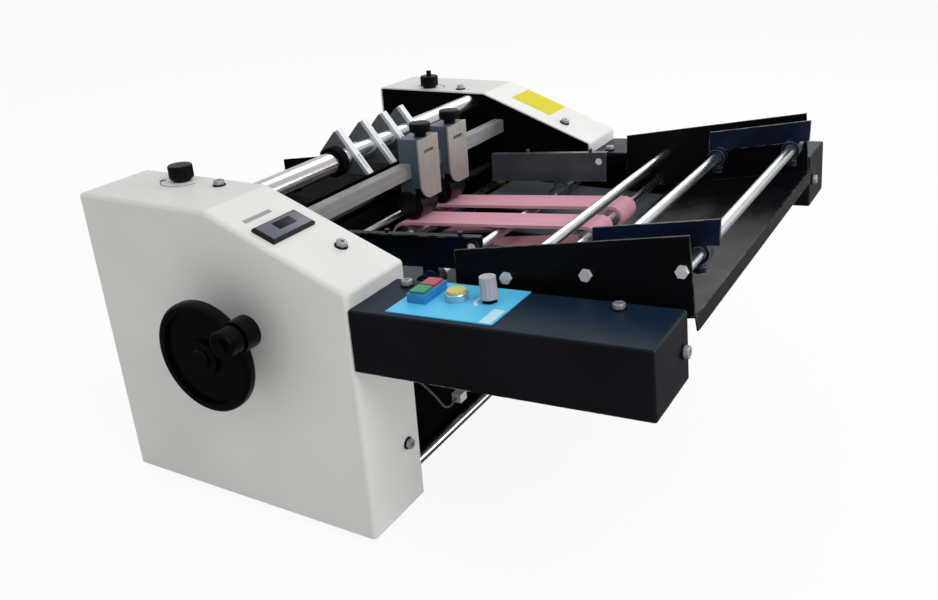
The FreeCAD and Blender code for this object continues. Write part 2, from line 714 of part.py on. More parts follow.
def side_plate():
    """Steel side plate inside a near cabinet, with its arm, flanges and holes."""
    plate = prism_y(cabinet_outline(COVER_SHEET + PLATE_EDGE_FIT, 0), PLATE_OUTER_Y, PLATE_INNER_Y)
    solid = joined([plate] + side_plate_tabs() + side_arm())
    low = PLATE_OUTER_Y - OVERRUN
    high = PLATE_INNER_Y + OVERRUN
    cuts = [screw_hole(point, direction) for point, direction in cover_screw_places()]
    for x, z in cross_bar_places():
        cuts.append(rod_y(x, z, bolt_radius_at(x, z), low, high))
    cuts.append(rod_y(FEED_X, FEED_Z, FEED_SHAFT_RADIUS + BEARING_WALL, low, high))
    cuts.append(rod_y(CREASE_X, CREASE_LOW_Z, CREASE_JOURNAL_RADIUS + BEARING_WALL, low, high))
    cuts.append(rod_y(CREASE_X, CREASE_HIGH_Z, CREASE_JOURNAL_RADIUS + WHEEL_HUB_GAP, low, high))
    cuts.append(rod_y(IDLER_X, IDLER_Z, IDLER_SHAFT_RADIUS + BEARING_WALL, low, high))
    cuts.append(rod_z(PRESSURE_X, PRESSURE_Y, PRESSURE_STUD_RADIUS + RUNNING_FIT,
                      COVER_HEIGHT - TAB_WIDTH, COVER_HEIGHT))
    for x in foot_xs():
        cuts.append(rod_z(x, FOOT_Y, FOOT_STUD_RADIUS, -OVERRUN, PLATE_THICKNESS + OVERRUN))
    return solid.cut(cuts)


def foot_xs():
    """Places of the feet along a cabinet."""
    return [FOOT_INSET_X, COVER_LENGTH - FOOT_INSET_X]


def feet():
    """Four rubber feet, each with a stud up through the side plate's flange."""
    pieces = []
    for x in foot_xs():
        pad = Part.makeCylinder(FOOT_RADIUS, FOOT_DROP, FreeCAD.Vector(x, FOOT_Y, -FOOT_DROP))
        rims = [e for e in pad.Edges if len(e.Vertexes) == 1]
        low_rim = [e for e in rims if abs(e.Vertexes[0].Z + FOOT_DROP) < RUNNING_FIT]
        pad = pad.makeFillet(FOOT_ROUND, low_rim)
        stud = rod_z(x, FOOT_Y, FOOT_STUD_RADIUS, 0, FOOT_STUD_LENGTH)
        foot = joined([pad, stud])
        pieces.append(foot)
        pieces.append(mirrored(foot))
    return Part.makeCompound(pieces)


def cover_screws():
    """All hexagon screws of both covers and both control boxes."""
    places = cover_screw_places() + box_screw_places()
    near = [hex_screw(point, direction) for point, direction in places]
    return Part.makeCompound(near + [mirrored(screw) for screw in near])


def cross_bar(x, z, radius):
    """Round bar between the side plates with a tapped hole in each end."""
    bar = rod_y(x, z, radius, PLATE_INNER_Y, FAR_PLATE_INNER_Y)
    return bar.cut(bar_end_holes(x, z))


def bar_end_holes(x, z):
    """Tapped holes in the two ends of a bar between the side plates."""
    depth = TRAY_BOLT_REACH - PLATE_THICKNESS
    radius = bolt_radius_at(x, z)
    return [
        rod_y(x, z, radius, PLATE_INNER_Y - OVERRUN, PLATE_INNER_Y + depth),
        rod_y(x, z, radius, FAR_PLATE_INNER_Y - depth, FAR_PLATE_INNER_Y + OVERRUN),
    ]


def upper_tie_shaft():
    """Thick bright bar that ties the cabinets near their tops."""
    return cross_bar(TIE_SHAFT_X, TIE_SHAFT_Z, TIE_SHAFT_RADIUS)


def gate_bar():
    """Square bar that the separator gates slide along."""
    bar = box(GATE_BAR_FACE_X - GATE_BAR_DEPTH, GATE_BAR_FACE_X, PLATE_INNER_Y, FAR_PLATE_INNER_Y,
              GATE_BAR_TOP_Z - GATE_BAR_HEIGHT, GATE_BAR_TOP_Z)
    middle_x = GATE_BAR_FACE_X - GATE_BAR_DEPTH / 2
    middle_z = GATE_BAR_TOP_Z - GATE_BAR_HEIGHT / 2
    return bar.cut(bar_end_holes(middle_x, middle_z))


def tie_rods():
    """Thin bright rods low down, under the table and behind the gates."""
    return Part.makeCompound([
        cross_bar(FRONT_TIE_X - ROD_RADIUS, FRONT_TIE_Z, ROD_RADIUS),
        cross_bar(REAR_TIE_X, REAR_TIE_Z, ROD_RADIUS),
        cross_bar(TABLE_ROD_X, TABLE_ROD_Z, ROD_RADIUS),
        cross_bar(GUIDE_ROD_X, GUIDE_ROD_Z, GUIDE_ROD_RADIUS),
    ])


def plain_bolt(x, z, radius, head_y):
    """Hexagon bolt along the width: its head ends at head_y and its shank runs towards the far side."""
    head = hexagon(TRAY_BOLT_ACROSS * radius / TRAY_BOLT_RADIUS, TRAY_BOLT_HEAD)
    head = turned_to(head, FreeCAD.Vector(x, head_y - TRAY_BOLT_HEAD, z), Y_AXIS)
    return joined([head, rod_y(x, z, radius, head_y, head_y + TRAY_BOLT_REACH - RUNNING_FIT)])


def rod_bolts():
    """Bolts that hold the bars to the side plates and the tray rods to the tray's sides."""
    near = []
    for x, z in cross_bar_places():
        near.append(plain_bolt(x, z, bolt_radius_at(x, z), PLATE_OUTER_Y))
    for x in TRAY_ROD_XS:
        near.append(plain_bolt(x, tray_z(x, 0), TRAY_BOLT_RADIUS, TRAY_PLATE_Y))
    return Part.makeCompound(near + [mirrored(bolt) for bolt in near])


def front_apron():
    """Black sheet across the front between the cabinets, with a lip folded back at its lower edge."""
    high = TABLE_Z - TRAY_FLOOR_SHEET
    wall = box(APRON_X, APRON_X + APRON_SHEET, PLATE_INNER_Y, FAR_PLATE_INNER_Y, APRON_LOW_Z, high)
    lip = box(APRON_X - APRON_LIP, APRON_X, PLATE_INNER_Y, FAR_PLATE_INNER_Y,
              APRON_LOW_Z, APRON_LOW_Z + APRON_SHEET)
    notches = []
    for start in belt_starts():
        notches.append(box(APRON_X - OVERRUN, APRON_X + APRON_SHEET + OVERRUN, start - TABLE_SLOT_MARGIN,
                           start + BELT_WIDTH + TABLE_SLOT_MARGIN, high - APRON_NOTCH_DEPTH,
                           high + OVERRUN))
    return joined([wall, lip]).cut(notches)


def paper_bridge():
    """Sheets that carry the paper past the crease shafts, with the rear wall and the shafts' guard."""
    nip = CREASE_LOW_Z + CREASE_RING_PITCH_RADIUS
    top = nip - BRIDGE_DROP
    feed = box(BRIDGE_START_X, BRIDGE_END_X, PLATE_INNER_Y, FAR_PLATE_INNER_Y, top - BRIDGE_SHEET, top)
    feed_lip = box(BRIDGE_START_X, BRIDGE_START_X + BRIDGE_SHEET, PLATE_INNER_Y, FAR_PLATE_INNER_Y,
                   top - BRIDGE_LIP, top)
    outline = [
        (EXIT_START_X, top - EXIT_FALL - BRIDGE_SHEET),
        (EXIT_END_X, top - BRIDGE_SHEET),
        (EXIT_END_X, top),
        (EXIT_START_X, top - EXIT_FALL),
    ]
    exit_plate = prism_y(outline, PLATE_INNER_Y, FAR_PLATE_INNER_Y)
    rear_wall = box(EXIT_START_X, EXIT_START_X + BRIDGE_SHEET, PLATE_INNER_Y, FAR_PLATE_INNER_Y,
                    APRON_LOW_Z, top - EXIT_FALL)
    return Part.makeCompound([joined([feed, feed_lip]), joined([exit_plate, rear_wall]), crease_guard()])


def crease_guard():
    """Folded sheet over the crease shafts, open towards the delivery end."""
    top = CREASE_HIGH_Z + CREASE_RING_PITCH_RADIUS + GUARD_CLEARANCE
    roof = box(GUARD_START_X, GUARD_END_X, PLATE_INNER_Y, FAR_PLATE_INNER_Y, top - BRIDGE_SHEET, top)
    front = box(GUARD_END_X - BRIDGE_SHEET, GUARD_END_X, PLATE_INNER_Y, FAR_PLATE_INNER_Y,
                top - GUARD_FRONT_DEPTH, top)
    return joined([roof, front])


def slanted_sheet(start_x, end_x, drop, y0, y1):
    """Sheet that lies in the tray's slanted plane, its upper face at the drop below the rods."""
    outline = [
        (start_x, tray_z(start_x, drop)),
        (start_x, tray_z(start_x, drop + TRAY_FLOOR_SHEET)),
        (end_x, tray_z(end_x, drop + TRAY_FLOOR_SHEET)),
        (end_x, tray_z(end_x, drop)),
    ]
    return prism_y(outline, y0, y1)


def feed_table():
    """Level sheet under the feed belts, slotted for them, with a lip at its delivery end."""
    low = TABLE_Z - TRAY_FLOOR_SHEET
    sheet = box(TABLE_START_X, TABLE_END_X, PLATE_INNER_Y, FAR_PLATE_INNER_Y, low, TABLE_Z)
    lip = box(TABLE_START_X, TABLE_START_X + TRAY_FLOOR_SHEET, PLATE_INNER_Y, FAR_PLATE_INNER_Y,
              TABLE_Z - TABLE_LIP, TABLE_Z)
    slots = []
    for start in belt_starts():
        slots.append(box(TABLE_START_X - OVERRUN, TABLE_SLOT_END_X, start - TABLE_SLOT_MARGIN,
                         start + BELT_WIDTH + TABLE_SLOT_MARGIN, low - TABLE_LIP, TABLE_Z + OVERRUN))
    return joined([sheet, lip]).cut(slots)


def tray_floor():
    """Floor of the feed tray, folded down at its outer end."""
    near = TRAY_PLATE_Y
    far = TOTAL_WIDTH - TRAY_PLATE_Y
    sheet = slanted_sheet(TRAY_FLOOR_START_X, TRAY_FLOOR_END_X, TRAY_FLOOR_DROP, near, far)
    end_z = tray_z(TRAY_FLOOR_END_X, TRAY_FLOOR_DROP)
    outline = [
        (TRAY_FLOOR_END_X - TRAY_FLOOR_SHEET, end_z),
        (TRAY_FLOOR_END_X, end_z),
        (TRAY_FLOOR_END_X + TRAY_FLOOR_LIP * TRAY_SLOPE, end_z - TRAY_FLOOR_LIP),
        (TRAY_FLOOR_END_X + TRAY_FLOOR_LIP * TRAY_SLOPE - TRAY_FLOOR_SHEET, end_z - TRAY_FLOOR_LIP),
    ]
    low = tray_z(TRAY_FLOOR_START_X, TRAY_FLOOR_DROP)
    lip_end_x = TRAY_FLOOR_START_X + TRAY_FLOOR_SHEET
    start_lip = box(TRAY_FLOOR_START_X, lip_end_x, near, far, low - TABLE_LIP, low)
    return joined([sheet, prism_y(outline, near, far), start_lip])


def tray_side_plate():
    """Near side of the feed tray with its welded stand-offs to the side plate's arm."""
    outline = [
        (TRAY_PLATE_START_X, tray_z(TRAY_PLATE_START_X, TRAY_FLOOR_DROP)),
        (TRAY_PLATE_HEEL_X, tray_z(TRAY_PLATE_HEEL_X, TRAY_FLOOR_DROP)),
        (TRAY_PLATE_END_X, TRAY_PLATE_END_TOP_Z),
        (TRAY_PLATE_START_X, TRAY_PLATE_START_TOP_Z),
    ]
    plate = prism_y(outline, TRAY_PLATE_Y, TRAY_PLATE_Y + TRAY_PLATE_SHEET)
    posts = []
    for x in TRAY_STANDOFF_XS:
        z = tray_z(x, TRAY_FLOOR_DROP) + TRAY_STANDOFF_RISE
        posts.append(rod_y(x, z, TRAY_STANDOFF_RADIUS, PLATE_INNER_Y, TRAY_PLATE_Y))
    low = TRAY_PLATE_Y - OVERRUN
    high = TRAY_PLATE_Y + TRAY_PLATE_SHEET + OVERRUN
    cuts = [rod_y(x, tray_z(x, 0), TRAY_BOLT_RADIUS, low, high) for x in TRAY_ROD_XS]
    cuts.append(rod_y(IDLER_X, IDLER_Z, IDLER_SHAFT_RADIUS + WHEEL_HUB_GAP, low, high))
    return joined([plate] + posts).cut(cuts)


def tray_side_plates():
    """Both sides of the feed tray."""
    near = tray_side_plate()
    return Part.makeCompound([near, mirrored(near)])


def tray_rods():
    """Bright rods that the paper stack lies on."""
    start = TRAY_PLATE_Y + TRAY_PLATE_SHEET
    end = TOTAL_WIDTH - start
    depth = TRAY_BOLT_REACH - TRAY_PLATE_SHEET
    rods = []
    for x in TRAY_ROD_XS:
        z = tray_z(x, 0)
        rod = rod_y(x, z, ROD_RADIUS, start, end)
        holes = [rod_y(x, z, TRAY_BOLT_RADIUS, start - OVERRUN, start + depth)]
        holes.append(rod_y(x, z, TRAY_BOLT_RADIUS, end - depth, end + OVERRUN))
        rods.append(rod.cut(holes))
    return Part.makeCompound(rods)


def bush(x, z, bore, start, length, flange_start):
    """Flanged bearing bush along the width; the flange sits on the side given by its start."""
    sleeve = rod_y(x, z, bore + BEARING_WALL, start, start + length)
    lip_radius = bore + BEARING_WALL + BEARING_FLANGE_LIP
    lip = rod_y(x, z, lip_radius, flange_start, flange_start + BEARING_FLANGE)
    hole = rod_y(x, z, bore + RUNNING_FIT, start - length, start + 2 * length)
    return joined([sleeve, lip]).cut(hole)


def bearings():
    """Bushes of the feed shaft, the idler and both crease shafts."""
    near = []
    flange = PLATE_OUTER_Y - BEARING_FLANGE
    turning = [
        (FEED_X, FEED_Z, FEED_SHAFT_RADIUS),
        (CREASE_X, CREASE_LOW_Z, CREASE_JOURNAL_RADIUS),
        (IDLER_X, IDLER_Z, IDLER_SHAFT_RADIUS),
    ]
    for x, z, radius in turning:
        near.append(bush(x, z, radius, PLATE_OUTER_Y, PLATE_THICKNESS, flange))
    sleeve = rod_y(CREASE_X, CREASE_HIGH_Z, CREASE_JOURNAL_RADIUS + BEARING_WALL,
                   PLATE_OUTER_Y - BLOCK_DEPTH, PLATE_OUTER_Y)
    bore = rod_y(CREASE_X, CREASE_HIGH_Z, CREASE_JOURNAL_RADIUS + RUNNING_FIT,
                 PLATE_OUTER_Y - BLOCK_DEPTH - OVERRUN, PLATE_OUTER_Y + OVERRUN)
    near.append(sleeve.cut(bore))
    return Part.makeCompound(near + [mirrored(piece) for piece in near])


def pressure_blocks():
    """Blocks that hold the upper crease shaft's bushes and take the push of the pressure knobs."""
    half = BLOCK_WIDTH / 2
    block = box(CREASE_X - half, CREASE_X + half, PLATE_OUTER_Y - BLOCK_DEPTH, PLATE_OUTER_Y,
                CREASE_HIGH_Z - BLOCK_HEIGHT / 2, CREASE_HIGH_Z + BLOCK_HEIGHT / 2)
    block = block.cut(rod_y(CREASE_X, CREASE_HIGH_Z, CREASE_JOURNAL_RADIUS + BEARING_WALL,
                            PLATE_OUTER_Y - BLOCK_DEPTH - OVERRUN, PLATE_OUTER_Y + OVERRUN))
    return Part.makeCompound([block, mirrored(block)])


def pressure_spring():
    """Coil spring round a pressure spindle, between the side plate's upper flange and the block."""
    low = CREASE_HIGH_Z + BLOCK_HEIGHT / 2 + SPRING_WIRE_RADIUS + SEAT_GAP
    high = COVER_HEIGHT - COVER_SHEET - PLATE_EDGE_FIT - PLATE_THICKNESS - SPRING_WIRE_RADIUS - SEAT_GAP
    helix = Part.makeHelix((high - low) / SPRING_TURNS, high - low, SPRING_RADIUS)
    ring = Part.Circle(FreeCAD.Vector(SPRING_RADIUS, 0, 0), Y_AXIS, SPRING_WIRE_RADIUS)
    coil = Part.Wire(helix).makePipeShell([Part.Wire(ring.toShape())], True, True)
    coil.translate(FreeCAD.Vector(PRESSURE_X, PRESSURE_Y, low))
    return coil


def pressure_springs():
    """Both pressure springs."""
    near = pressure_spring()
    return Part.makeCompound([near, mirrored(near)])


def pressure_knob(stud):
    """Fluted knob on top of a cabinet with the threaded spindle that it turns."""
    low = COVER_HEIGHT + SEAT_GAP
    top = low + PRESSURE_KNOB_FOOT_HEIGHT + PRESSURE_KNOB_HEIGHT
    foot = rod_z(PRESSURE_X, PRESSURE_Y, PRESSURE_KNOB_FOOT_RADIUS, low, low + PRESSURE_KNOB_FOOT_HEIGHT)
    grip = rod_z(PRESSURE_X, PRESSURE_Y, PRESSURE_KNOB_RADIUS, low + PRESSURE_KNOB_FOOT_HEIGHT, top)
    rim = [e for e in grip.Edges if len(e.Vertexes) == 1]
    grip = grip.makeFillet(KNOB_FLUTE_RADIUS, rim)
    grip = fluted(grip, PRESSURE_X, PRESSURE_Y, PRESSURE_KNOB_RADIUS, low, top + OVERRUN)
    spindle_low = CREASE_HIGH_Z + BLOCK_HEIGHT / 2 + SEAT_GAP
    spindle_top = top + (PRESSURE_STUD_STICKOUT if stud else -PRESSURE_KNOB_FOOT_HEIGHT)
    spindle = rod_z(PRESSURE_X, PRESSURE_Y, PRESSURE_STUD_RADIUS, spindle_low, spindle_top)
    return Part.makeCompound([joined([foot, grip]).cut(spindle), spindle])


def gear(x, z, y0, y1, phase):
    """Spur gear along the width, made of straight steps on the involute of each tooth side."""
    pitch = CREASE_RING_PITCH_RADIUS
    module = 2 * pitch / GEAR_TEETH
    tip = pitch + module * GEAR_TIP_SHARE
    root = pitch - module * GEAR_ROOT_SHARE
    base = pitch * math.cos(math.radians(PRESSURE_ANGLE_DEG))
    at_pitch = math.tan(math.radians(PRESSURE_ANGLE_DEG)) - math.radians(PRESSURE_ANGLE_DEG)
    half_tooth = math.pi / (2 * GEAR_TEETH) - GEAR_BACKLASH / (2 * pitch)
    flank = []
    for step in range(GEAR_FLANK_STEPS + 1):
        radius = base + (tip - base) * step / GEAR_FLANK_STEPS
        roll = math.acos(base / radius)
        flank.append((radius, half_tooth + at_pitch - (math.tan(roll) - roll)))
    points = []
    for tooth in range(GEAR_TEETH):
        middle = phase + 2 * math.pi * tooth / GEAR_TEETH
        side = [(root, flank[0][1])] + flank
        turns = [(radius, middle - angle) for radius, angle in side]
        turns += [(radius, middle + angle) for radius, angle in reversed(side)]
        points += [(x + radius * math.cos(angle), z + radius * math.sin(angle)) for radius, angle in turns]
    return prism_y(points, y0, y1).cut(rod_y(x, z, CREASE_JOURNAL_RADIUS, y0 - OVERRUN, y1 + OVERRUN))


def gear_limits():
    """Where the crease gears lie across the machine."""
    start = FAR_PLATE_OUTER_Y + GEAR_START
    return start, start + GEAR_WIDTH


def lower_crease_gear():
    """Gear on the lower crease shaft, with a tooth pointing straight up."""
    start, end = gear_limits()
    return gear(CREASE_X, CREASE_LOW_Z, start, end, math.pi / 2)


def upper_crease_gear():
    """Gear on the upper crease shaft, with a gap pointing straight down."""
    start, end = gear_limits()
    return gear(CREASE_X, CREASE_HIGH_Z, start, end, math.pi / GEAR_TEETH - math.pi / 2)


def pulley(x, z, radius, bore, belt_start):
    """Timing pulley with two thin flanges, bored for its shaft."""
    low = belt_start - PULLEY_FLANGE
    high = belt_start + TIMING_BELT_WIDTH + PULLEY_FLANGE
    rim = radius + TIMING_BELT_THICKNESS
    body = rod_y(x, z, radius, low, high)
    sides = [rod_y(x, z, rim, low, belt_start - SEAT_GAP)]
    sides.append(rod_y(x, z, rim, high - PULLEY_FLANGE + SEAT_GAP, high))
    return joined([body] + sides).cut(rod_y(x, z, bore, low - OVERRUN, high + OVERRUN))


def first_belt_y():
    """Start of the motor's timing belt across the machine."""
    return FAR_PLATE_OUTER_Y + FIRST_BELT_START


def second_belt_y():
    """Start of the feed shaft's timing belt across the machine."""
    return FAR_PLATE_OUTER_Y + SECOND_BELT_START


def crease_ring_ys():
    """Middles of the two crease rings across the machine."""
    return [MID_Y - CREASE_RING_REACH, MID_Y + CREASE_RING_REACH]


def crease_body(z, low, high):
    """Crease shaft: a thick body between the plates with a journal at each end."""
    body = rod_y(CREASE_X, z, CREASE_SHAFT_RADIUS, PLATE_INNER_Y + CREASE_BODY_MARGIN,
                 FAR_PLATE_INNER_Y - CREASE_BODY_MARGIN)
    journal = rod_y(CREASE_X, z, CREASE_JOURNAL_RADIUS, low, high)
    return joined([body, journal])


def lower_crease_shaft():
    """Driven lower crease shaft with its grooved rings and two timing pulleys."""
    end = gear_limits()[1] + SEAT_GAP
    shaft = crease_body(CREASE_LOW_Z, PLATE_OUTER_Y - CREASE_BODY_MARGIN, end)
    pieces = [shaft]
    for middle in crease_ring_ys():
        ring = rod_y(CREASE_X, CREASE_LOW_Z, CREASE_RING_PITCH_RADIUS,
                     middle - CREASE_RING_WIDTH / 2, middle + CREASE_RING_WIDTH / 2)
        groove = rod_y(CREASE_X, CREASE_LOW_Z, CREASE_RING_PITCH_RADIUS + OVERRUN,
                       middle - CREASE_GROOVE_WIDTH / 2, middle + CREASE_GROOVE_WIDTH / 2)
        floor = rod_y(CREASE_X, CREASE_LOW_Z, CREASE_RING_PITCH_RADIUS - CREASE_GROOVE_DEPTH,
                      middle - CREASE_GROOVE_WIDTH / 2, middle + CREASE_GROOVE_WIDTH / 2)
        bore = rod_y(CREASE_X, CREASE_LOW_Z, CREASE_SHAFT_RADIUS, middle - CREASE_RING_WIDTH,
                     middle + CREASE_RING_WIDTH)
        pieces.append(ring.cut(groove).fuse(floor).cut(bore))
    for start in (first_belt_y(), second_belt_y()):
        pieces.append(pulley(CREASE_X, CREASE_LOW_Z, DRIVE_PULLEY_RADIUS, CREASE_JOURNAL_RADIUS, start))
    return Part.makeCompound(pieces)


def upper_crease_shaft():
    """Upper crease shaft with its thin creasing blades on collars."""
    end = gear_limits()[1] + SEAT_GAP
    pieces = [crease_body(CREASE_HIGH_Z, PLATE_OUTER_Y - BLOCK_DEPTH - SEAT_GAP, end)]
    for middle in crease_ring_ys():
        collar = rod_y(CREASE_X, CREASE_HIGH_Z, CREASE_RING_PITCH_RADIUS - CREASE_BACK_OFF,
                       middle - CREASE_RING_WIDTH / 2, middle + CREASE_RING_WIDTH / 2)
        blade = rod_y(CREASE_X, CREASE_HIGH_Z, CREASE_RING_PITCH_RADIUS + CREASE_BLADE_BITE,
                      middle - CREASE_BLADE_WIDTH / 2, middle + CREASE_BLADE_WIDTH / 2)
        bore = rod_y(CREASE_X, CREASE_HIGH_Z, CREASE_SHAFT_RADIUS, middle - CREASE_RING_WIDTH,
                     middle + CREASE_RING_WIDTH)
        pieces.append(joined([collar, blade]).cut(bore))
    return Part.makeCompound(pieces)


def belt_starts():
    """Near edges of the two feed belts."""
    return [BELT_NEAR_Y, BELT_FAR_Y]


def feed_shaft():
    """Feed shaft through the near cabinet to the handwheel, with a drum under each belt."""
    end = second_belt_y() + TIMING_BELT_WIDTH + 2 * PULLEY_FLANGE
    shaft = rod_y(FEED_X, FEED_Z, FEED_SHAFT_RADIUS, WHEEL_OUTER_Y, end)
    pieces = [shaft]
    for start in belt_starts():
        drum = rod_y(FEED_X, FEED_Z, FEED_DRUM_RADIUS, start - FEED_DRUM_MARGIN,
                     start + BELT_WIDTH + FEED_DRUM_MARGIN)
        bore = rod_y(FEED_X, FEED_Z, FEED_SHAFT_RADIUS, start - BELT_WIDTH, start + 2 * BELT_WIDTH)
        pieces.append(drum.cut(bore))
    pieces.append(pulley(FEED_X, FEED_Z, DRIVE_PULLEY_RADIUS, FEED_SHAFT_RADIUS, second_belt_y()))
    return Part.makeCompound(pieces)


def belt_idler():
    """Idler shaft at the tray end of the belts with a spool in each belt."""
    shaft = rod_y(IDLER_X, IDLER_Z, IDLER_SHAFT_RADIUS, PLATE_OUTER_Y - BEARING_FLANGE,
                  FAR_PLATE_OUTER_Y + BEARING_FLANGE)
    spools = []
    for start in belt_starts():
        spools.append(rod_y(IDLER_X, IDLER_Z, IDLER_RADIUS, start - FEED_DRUM_MARGIN,
                            start + BELT_WIDTH + FEED_DRUM_MARGIN))
    return joined([shaft] + spools)


def feed_belts():
    """Two flat friction belts that pull the lowest sheet under the gates."""
    belts = []
    for start in belt_starts():
        belts.append(belt_loop((FEED_X, FEED_Z), BELT_LOOP_FEED_RADIUS, (IDLER_X, IDLER_Z),
                               BELT_LOOP_IDLER_RADIUS, BELT_THICKNESS, start, start + BELT_WIDTH))
    return Part.makeCompound(belts)


def gate_middles():
    """Middles of the two separator gates across the machine."""
    return [GATE_NEAR_Y, GATE_NEAR_Y + GATE_SPACING]


def gate_wheel_z():
    """Height of the rubber separator wheel's middle, a paper gap above the belt."""
    lean = math.atan2(IDLER_Z - FEED_Z, IDLER_X - FEED_X)
    reach = math.hypot(IDLER_Z - FEED_Z, IDLER_X - FEED_X)
    rise = lean - math.asin((BELT_LOOP_FEED_RADIUS - BELT_LOOP_IDLER_RADIUS) / reach)
    belt_top = FEED_Z + (BELT_LOOP_FEED_RADIUS + BELT_THICKNESS) / math.cos(rise)
    belt_top += (GATE_WHEEL_X - FEED_X) * math.tan(rise)
    return belt_top + (GATE_WHEEL_RADIUS + GATE_PAPER_GAP) / math.cos(rise)


def gate_carriage(middle):
    """Separator carriage that slides on the square bar, with its rubber wheel and axle."""
    front = GATE_PLATE_X - GATE_PLATE_THICKNESS - SEAT_GAP
    half = GATE_WIDTH / 2 - GATE_BLOCK_MARGIN
    block = box(GATE_BLOCK_REAR_X, front, middle - half, middle + half,
                GATE_BLOCK_BOTTOM_Z, GATE_BLOCK_TOP_Z)
    bar_hole = box(GATE_BAR_FACE_X - GATE_BAR_DEPTH - RUNNING_FIT, GATE_BAR_FACE_X + RUNNING_FIT,
                   middle - GATE_WIDTH, middle + GATE_WIDTH,
                   GATE_BAR_TOP_Z - GATE_BAR_HEIGHT - RUNNING_FIT, GATE_BAR_TOP_Z + RUNNING_FIT)
    wheel_z = gate_wheel_z()
    cheeks = []
    for side in (-1, 1):
        start = middle + side * (half - GATE_CHEEK_THICKNESS / 2) - GATE_CHEEK_THICKNESS / 2
        cheeks.append(box(GATE_WHEEL_X - GATE_CHEEK_DEPTH / 2, GATE_WHEEL_X + GATE_CHEEK_DEPTH / 2,
                          start, start + GATE_CHEEK_THICKNESS,
                          wheel_z - GATE_AXLE_RADIUS * 2, GATE_BLOCK_BOTTOM_Z))
    stud_hole = rod_z(GATE_KNOB_X, middle, GATE_STUD_RADIUS + RUNNING_FIT,
                      GATE_BLOCK_TOP_Z - GATE_STUD_LENGTH - SEAT_GAP, GATE_BLOCK_TOP_Z + OVERRUN)
    axle = rod_y(GATE_WHEEL_X, wheel_z, GATE_AXLE_RADIUS, middle - half, middle + half)
    body = joined([block] + cheeks).cut([bar_hole, stud_hole, axle])
    wheel_half = half - GATE_CHEEK_THICKNESS - SEAT_GAP
    wheel = rod_y(GATE_WHEEL_X, wheel_z, GATE_WHEEL_RADIUS, middle - wheel_half, middle + wheel_half)
    wheel = wheel.cut(axle)
    return Part.makeCompound([body, wheel, axle])


def gate_plate(middle):
    """Bright separator plate in front of a carriage, rounded at its lower edge, slotted near its top."""
    half = GATE_WIDTH / 2
    plate = box(GATE_PLATE_X - GATE_PLATE_THICKNESS, GATE_PLATE_X, middle - half, middle + half,
                GATE_PLATE_BOTTOM_Z, GATE_BLOCK_TOP_Z)
    corner = [e for e in plate.Edges
              if all(abs(v.Z - GATE_PLATE_BOTTOM_Z) < RUNNING_FIT and v.Y < middle for v in e.Vertexes)]
    plate = plate.makeFillet(half, corner)
    slot_z = GATE_BLOCK_TOP_Z - GATE_SLOT_DROP
    slot = box(GATE_PLATE_X - OVERRUN, GATE_PLATE_X + OVERRUN, middle - GATE_SLOT_LENGTH / 2,
               middle + GATE_SLOT_LENGTH / 2, slot_z - GATE_SLOT_WIDTH / 2, slot_z + GATE_SLOT_WIDTH / 2)
    return plate.cut(slot)


def gate_knob(middle):
    """Knob on a gate with the threaded stud that lifts and lowers the separator plate."""
    low = GATE_BLOCK_TOP_Z + SEAT_GAP
    neck_top = low + GATE_KNOB_NECK_HEIGHT
    neck = rod_z(GATE_KNOB_X, middle, GATE_KNOB_NECK_RADIUS, low, neck_top)
    grip = rod_z(GATE_KNOB_X, middle, GATE_KNOB_RADIUS, neck_top, neck_top + GATE_KNOB_HEIGHT)
    rim = [e for e in grip.Edges if len(e.Vertexes) == 1]
    grip = fluted(grip.makeFillet(KNOB_FLUTE_RADIUS, rim), GATE_KNOB_X, middle, GATE_KNOB_RADIUS,
                  low, neck_top + GATE_KNOB_HEIGHT + OVERRUN)
    stud = rod_z(GATE_KNOB_X, middle, GATE_STUD_RADIUS, GATE_BLOCK_TOP_Z - GATE_STUD_LENGTH, low)
    return joined([neck, grip, stud])


def hold_down_arm(face_y):
    """Wedge-shaped arm clamped on the round bar, with a slotted strip along its sloping front."""
    x = TIE_SHAFT_X
    z = TIE_SHAFT_Z
    outline = [
        (x - HOLD_APEX_BACK, z + HOLD_APEX_RISE),
        (x + HOLD_TIP_X, z - HOLD_TIP_Z),
        (x + HOLD_TIP_X - HOLD_TOP_FLAT * 2, z - HOLD_TIP_Z),
        (x, z - HOLD_FOOT_Z),
        (x - HOLD_FOOT_BACK, z - HOLD_TIP_Z),
        (x - HOLD_REAR_X, z + HOLD_REAR_Z),
        (x - HOLD_APEX_BACK - HOLD_TOP_FLAT, z + HOLD_APEX_RISE - HOLD_TOP_FLAT / 2),
    ]
    end_y = face_y + ARM_THICKNESS
    wedge = prism_y(outline, face_y, end_y)
    bore = rod_y(x, z, TIE_SHAFT_RADIUS + RUNNING_FIT, face_y - OVERRUN, end_y + OVERRUN)
    run = HOLD_TIP_X + HOLD_APEX_BACK
    fall = HOLD_TIP_Z + HOLD_APEX_RISE
    length = math.hypot(run, fall)
    strip = box(0, HOLD_STRIP_THICKNESS, face_y, end_y, 0, length)
    middle_y = face_y + ARM_THICKNESS / 2
    slot = box(-OVERRUN, HOLD_STRIP_THICKNESS + OVERRUN, middle_y - HOLD_SLOT_WIDTH / 2,
               middle_y + HOLD_SLOT_WIDTH / 2, HOLD_SLOT_FROM_TIP, HOLD_SLOT_FROM_TIP + HOLD_SLOT_LENGTH)
    strip = strip.cut(slot)
    strip.rotate(FreeCAD.Vector(0, 0, 0), Y_AXIS, -math.degrees(math.atan2(run, fall)))
    strip.translate(FreeCAD.Vector(x + HOLD_TIP_X, 0, z - HOLD_TIP_Z))
    return Part.makeCompound([wedge.cut(bore), strip])


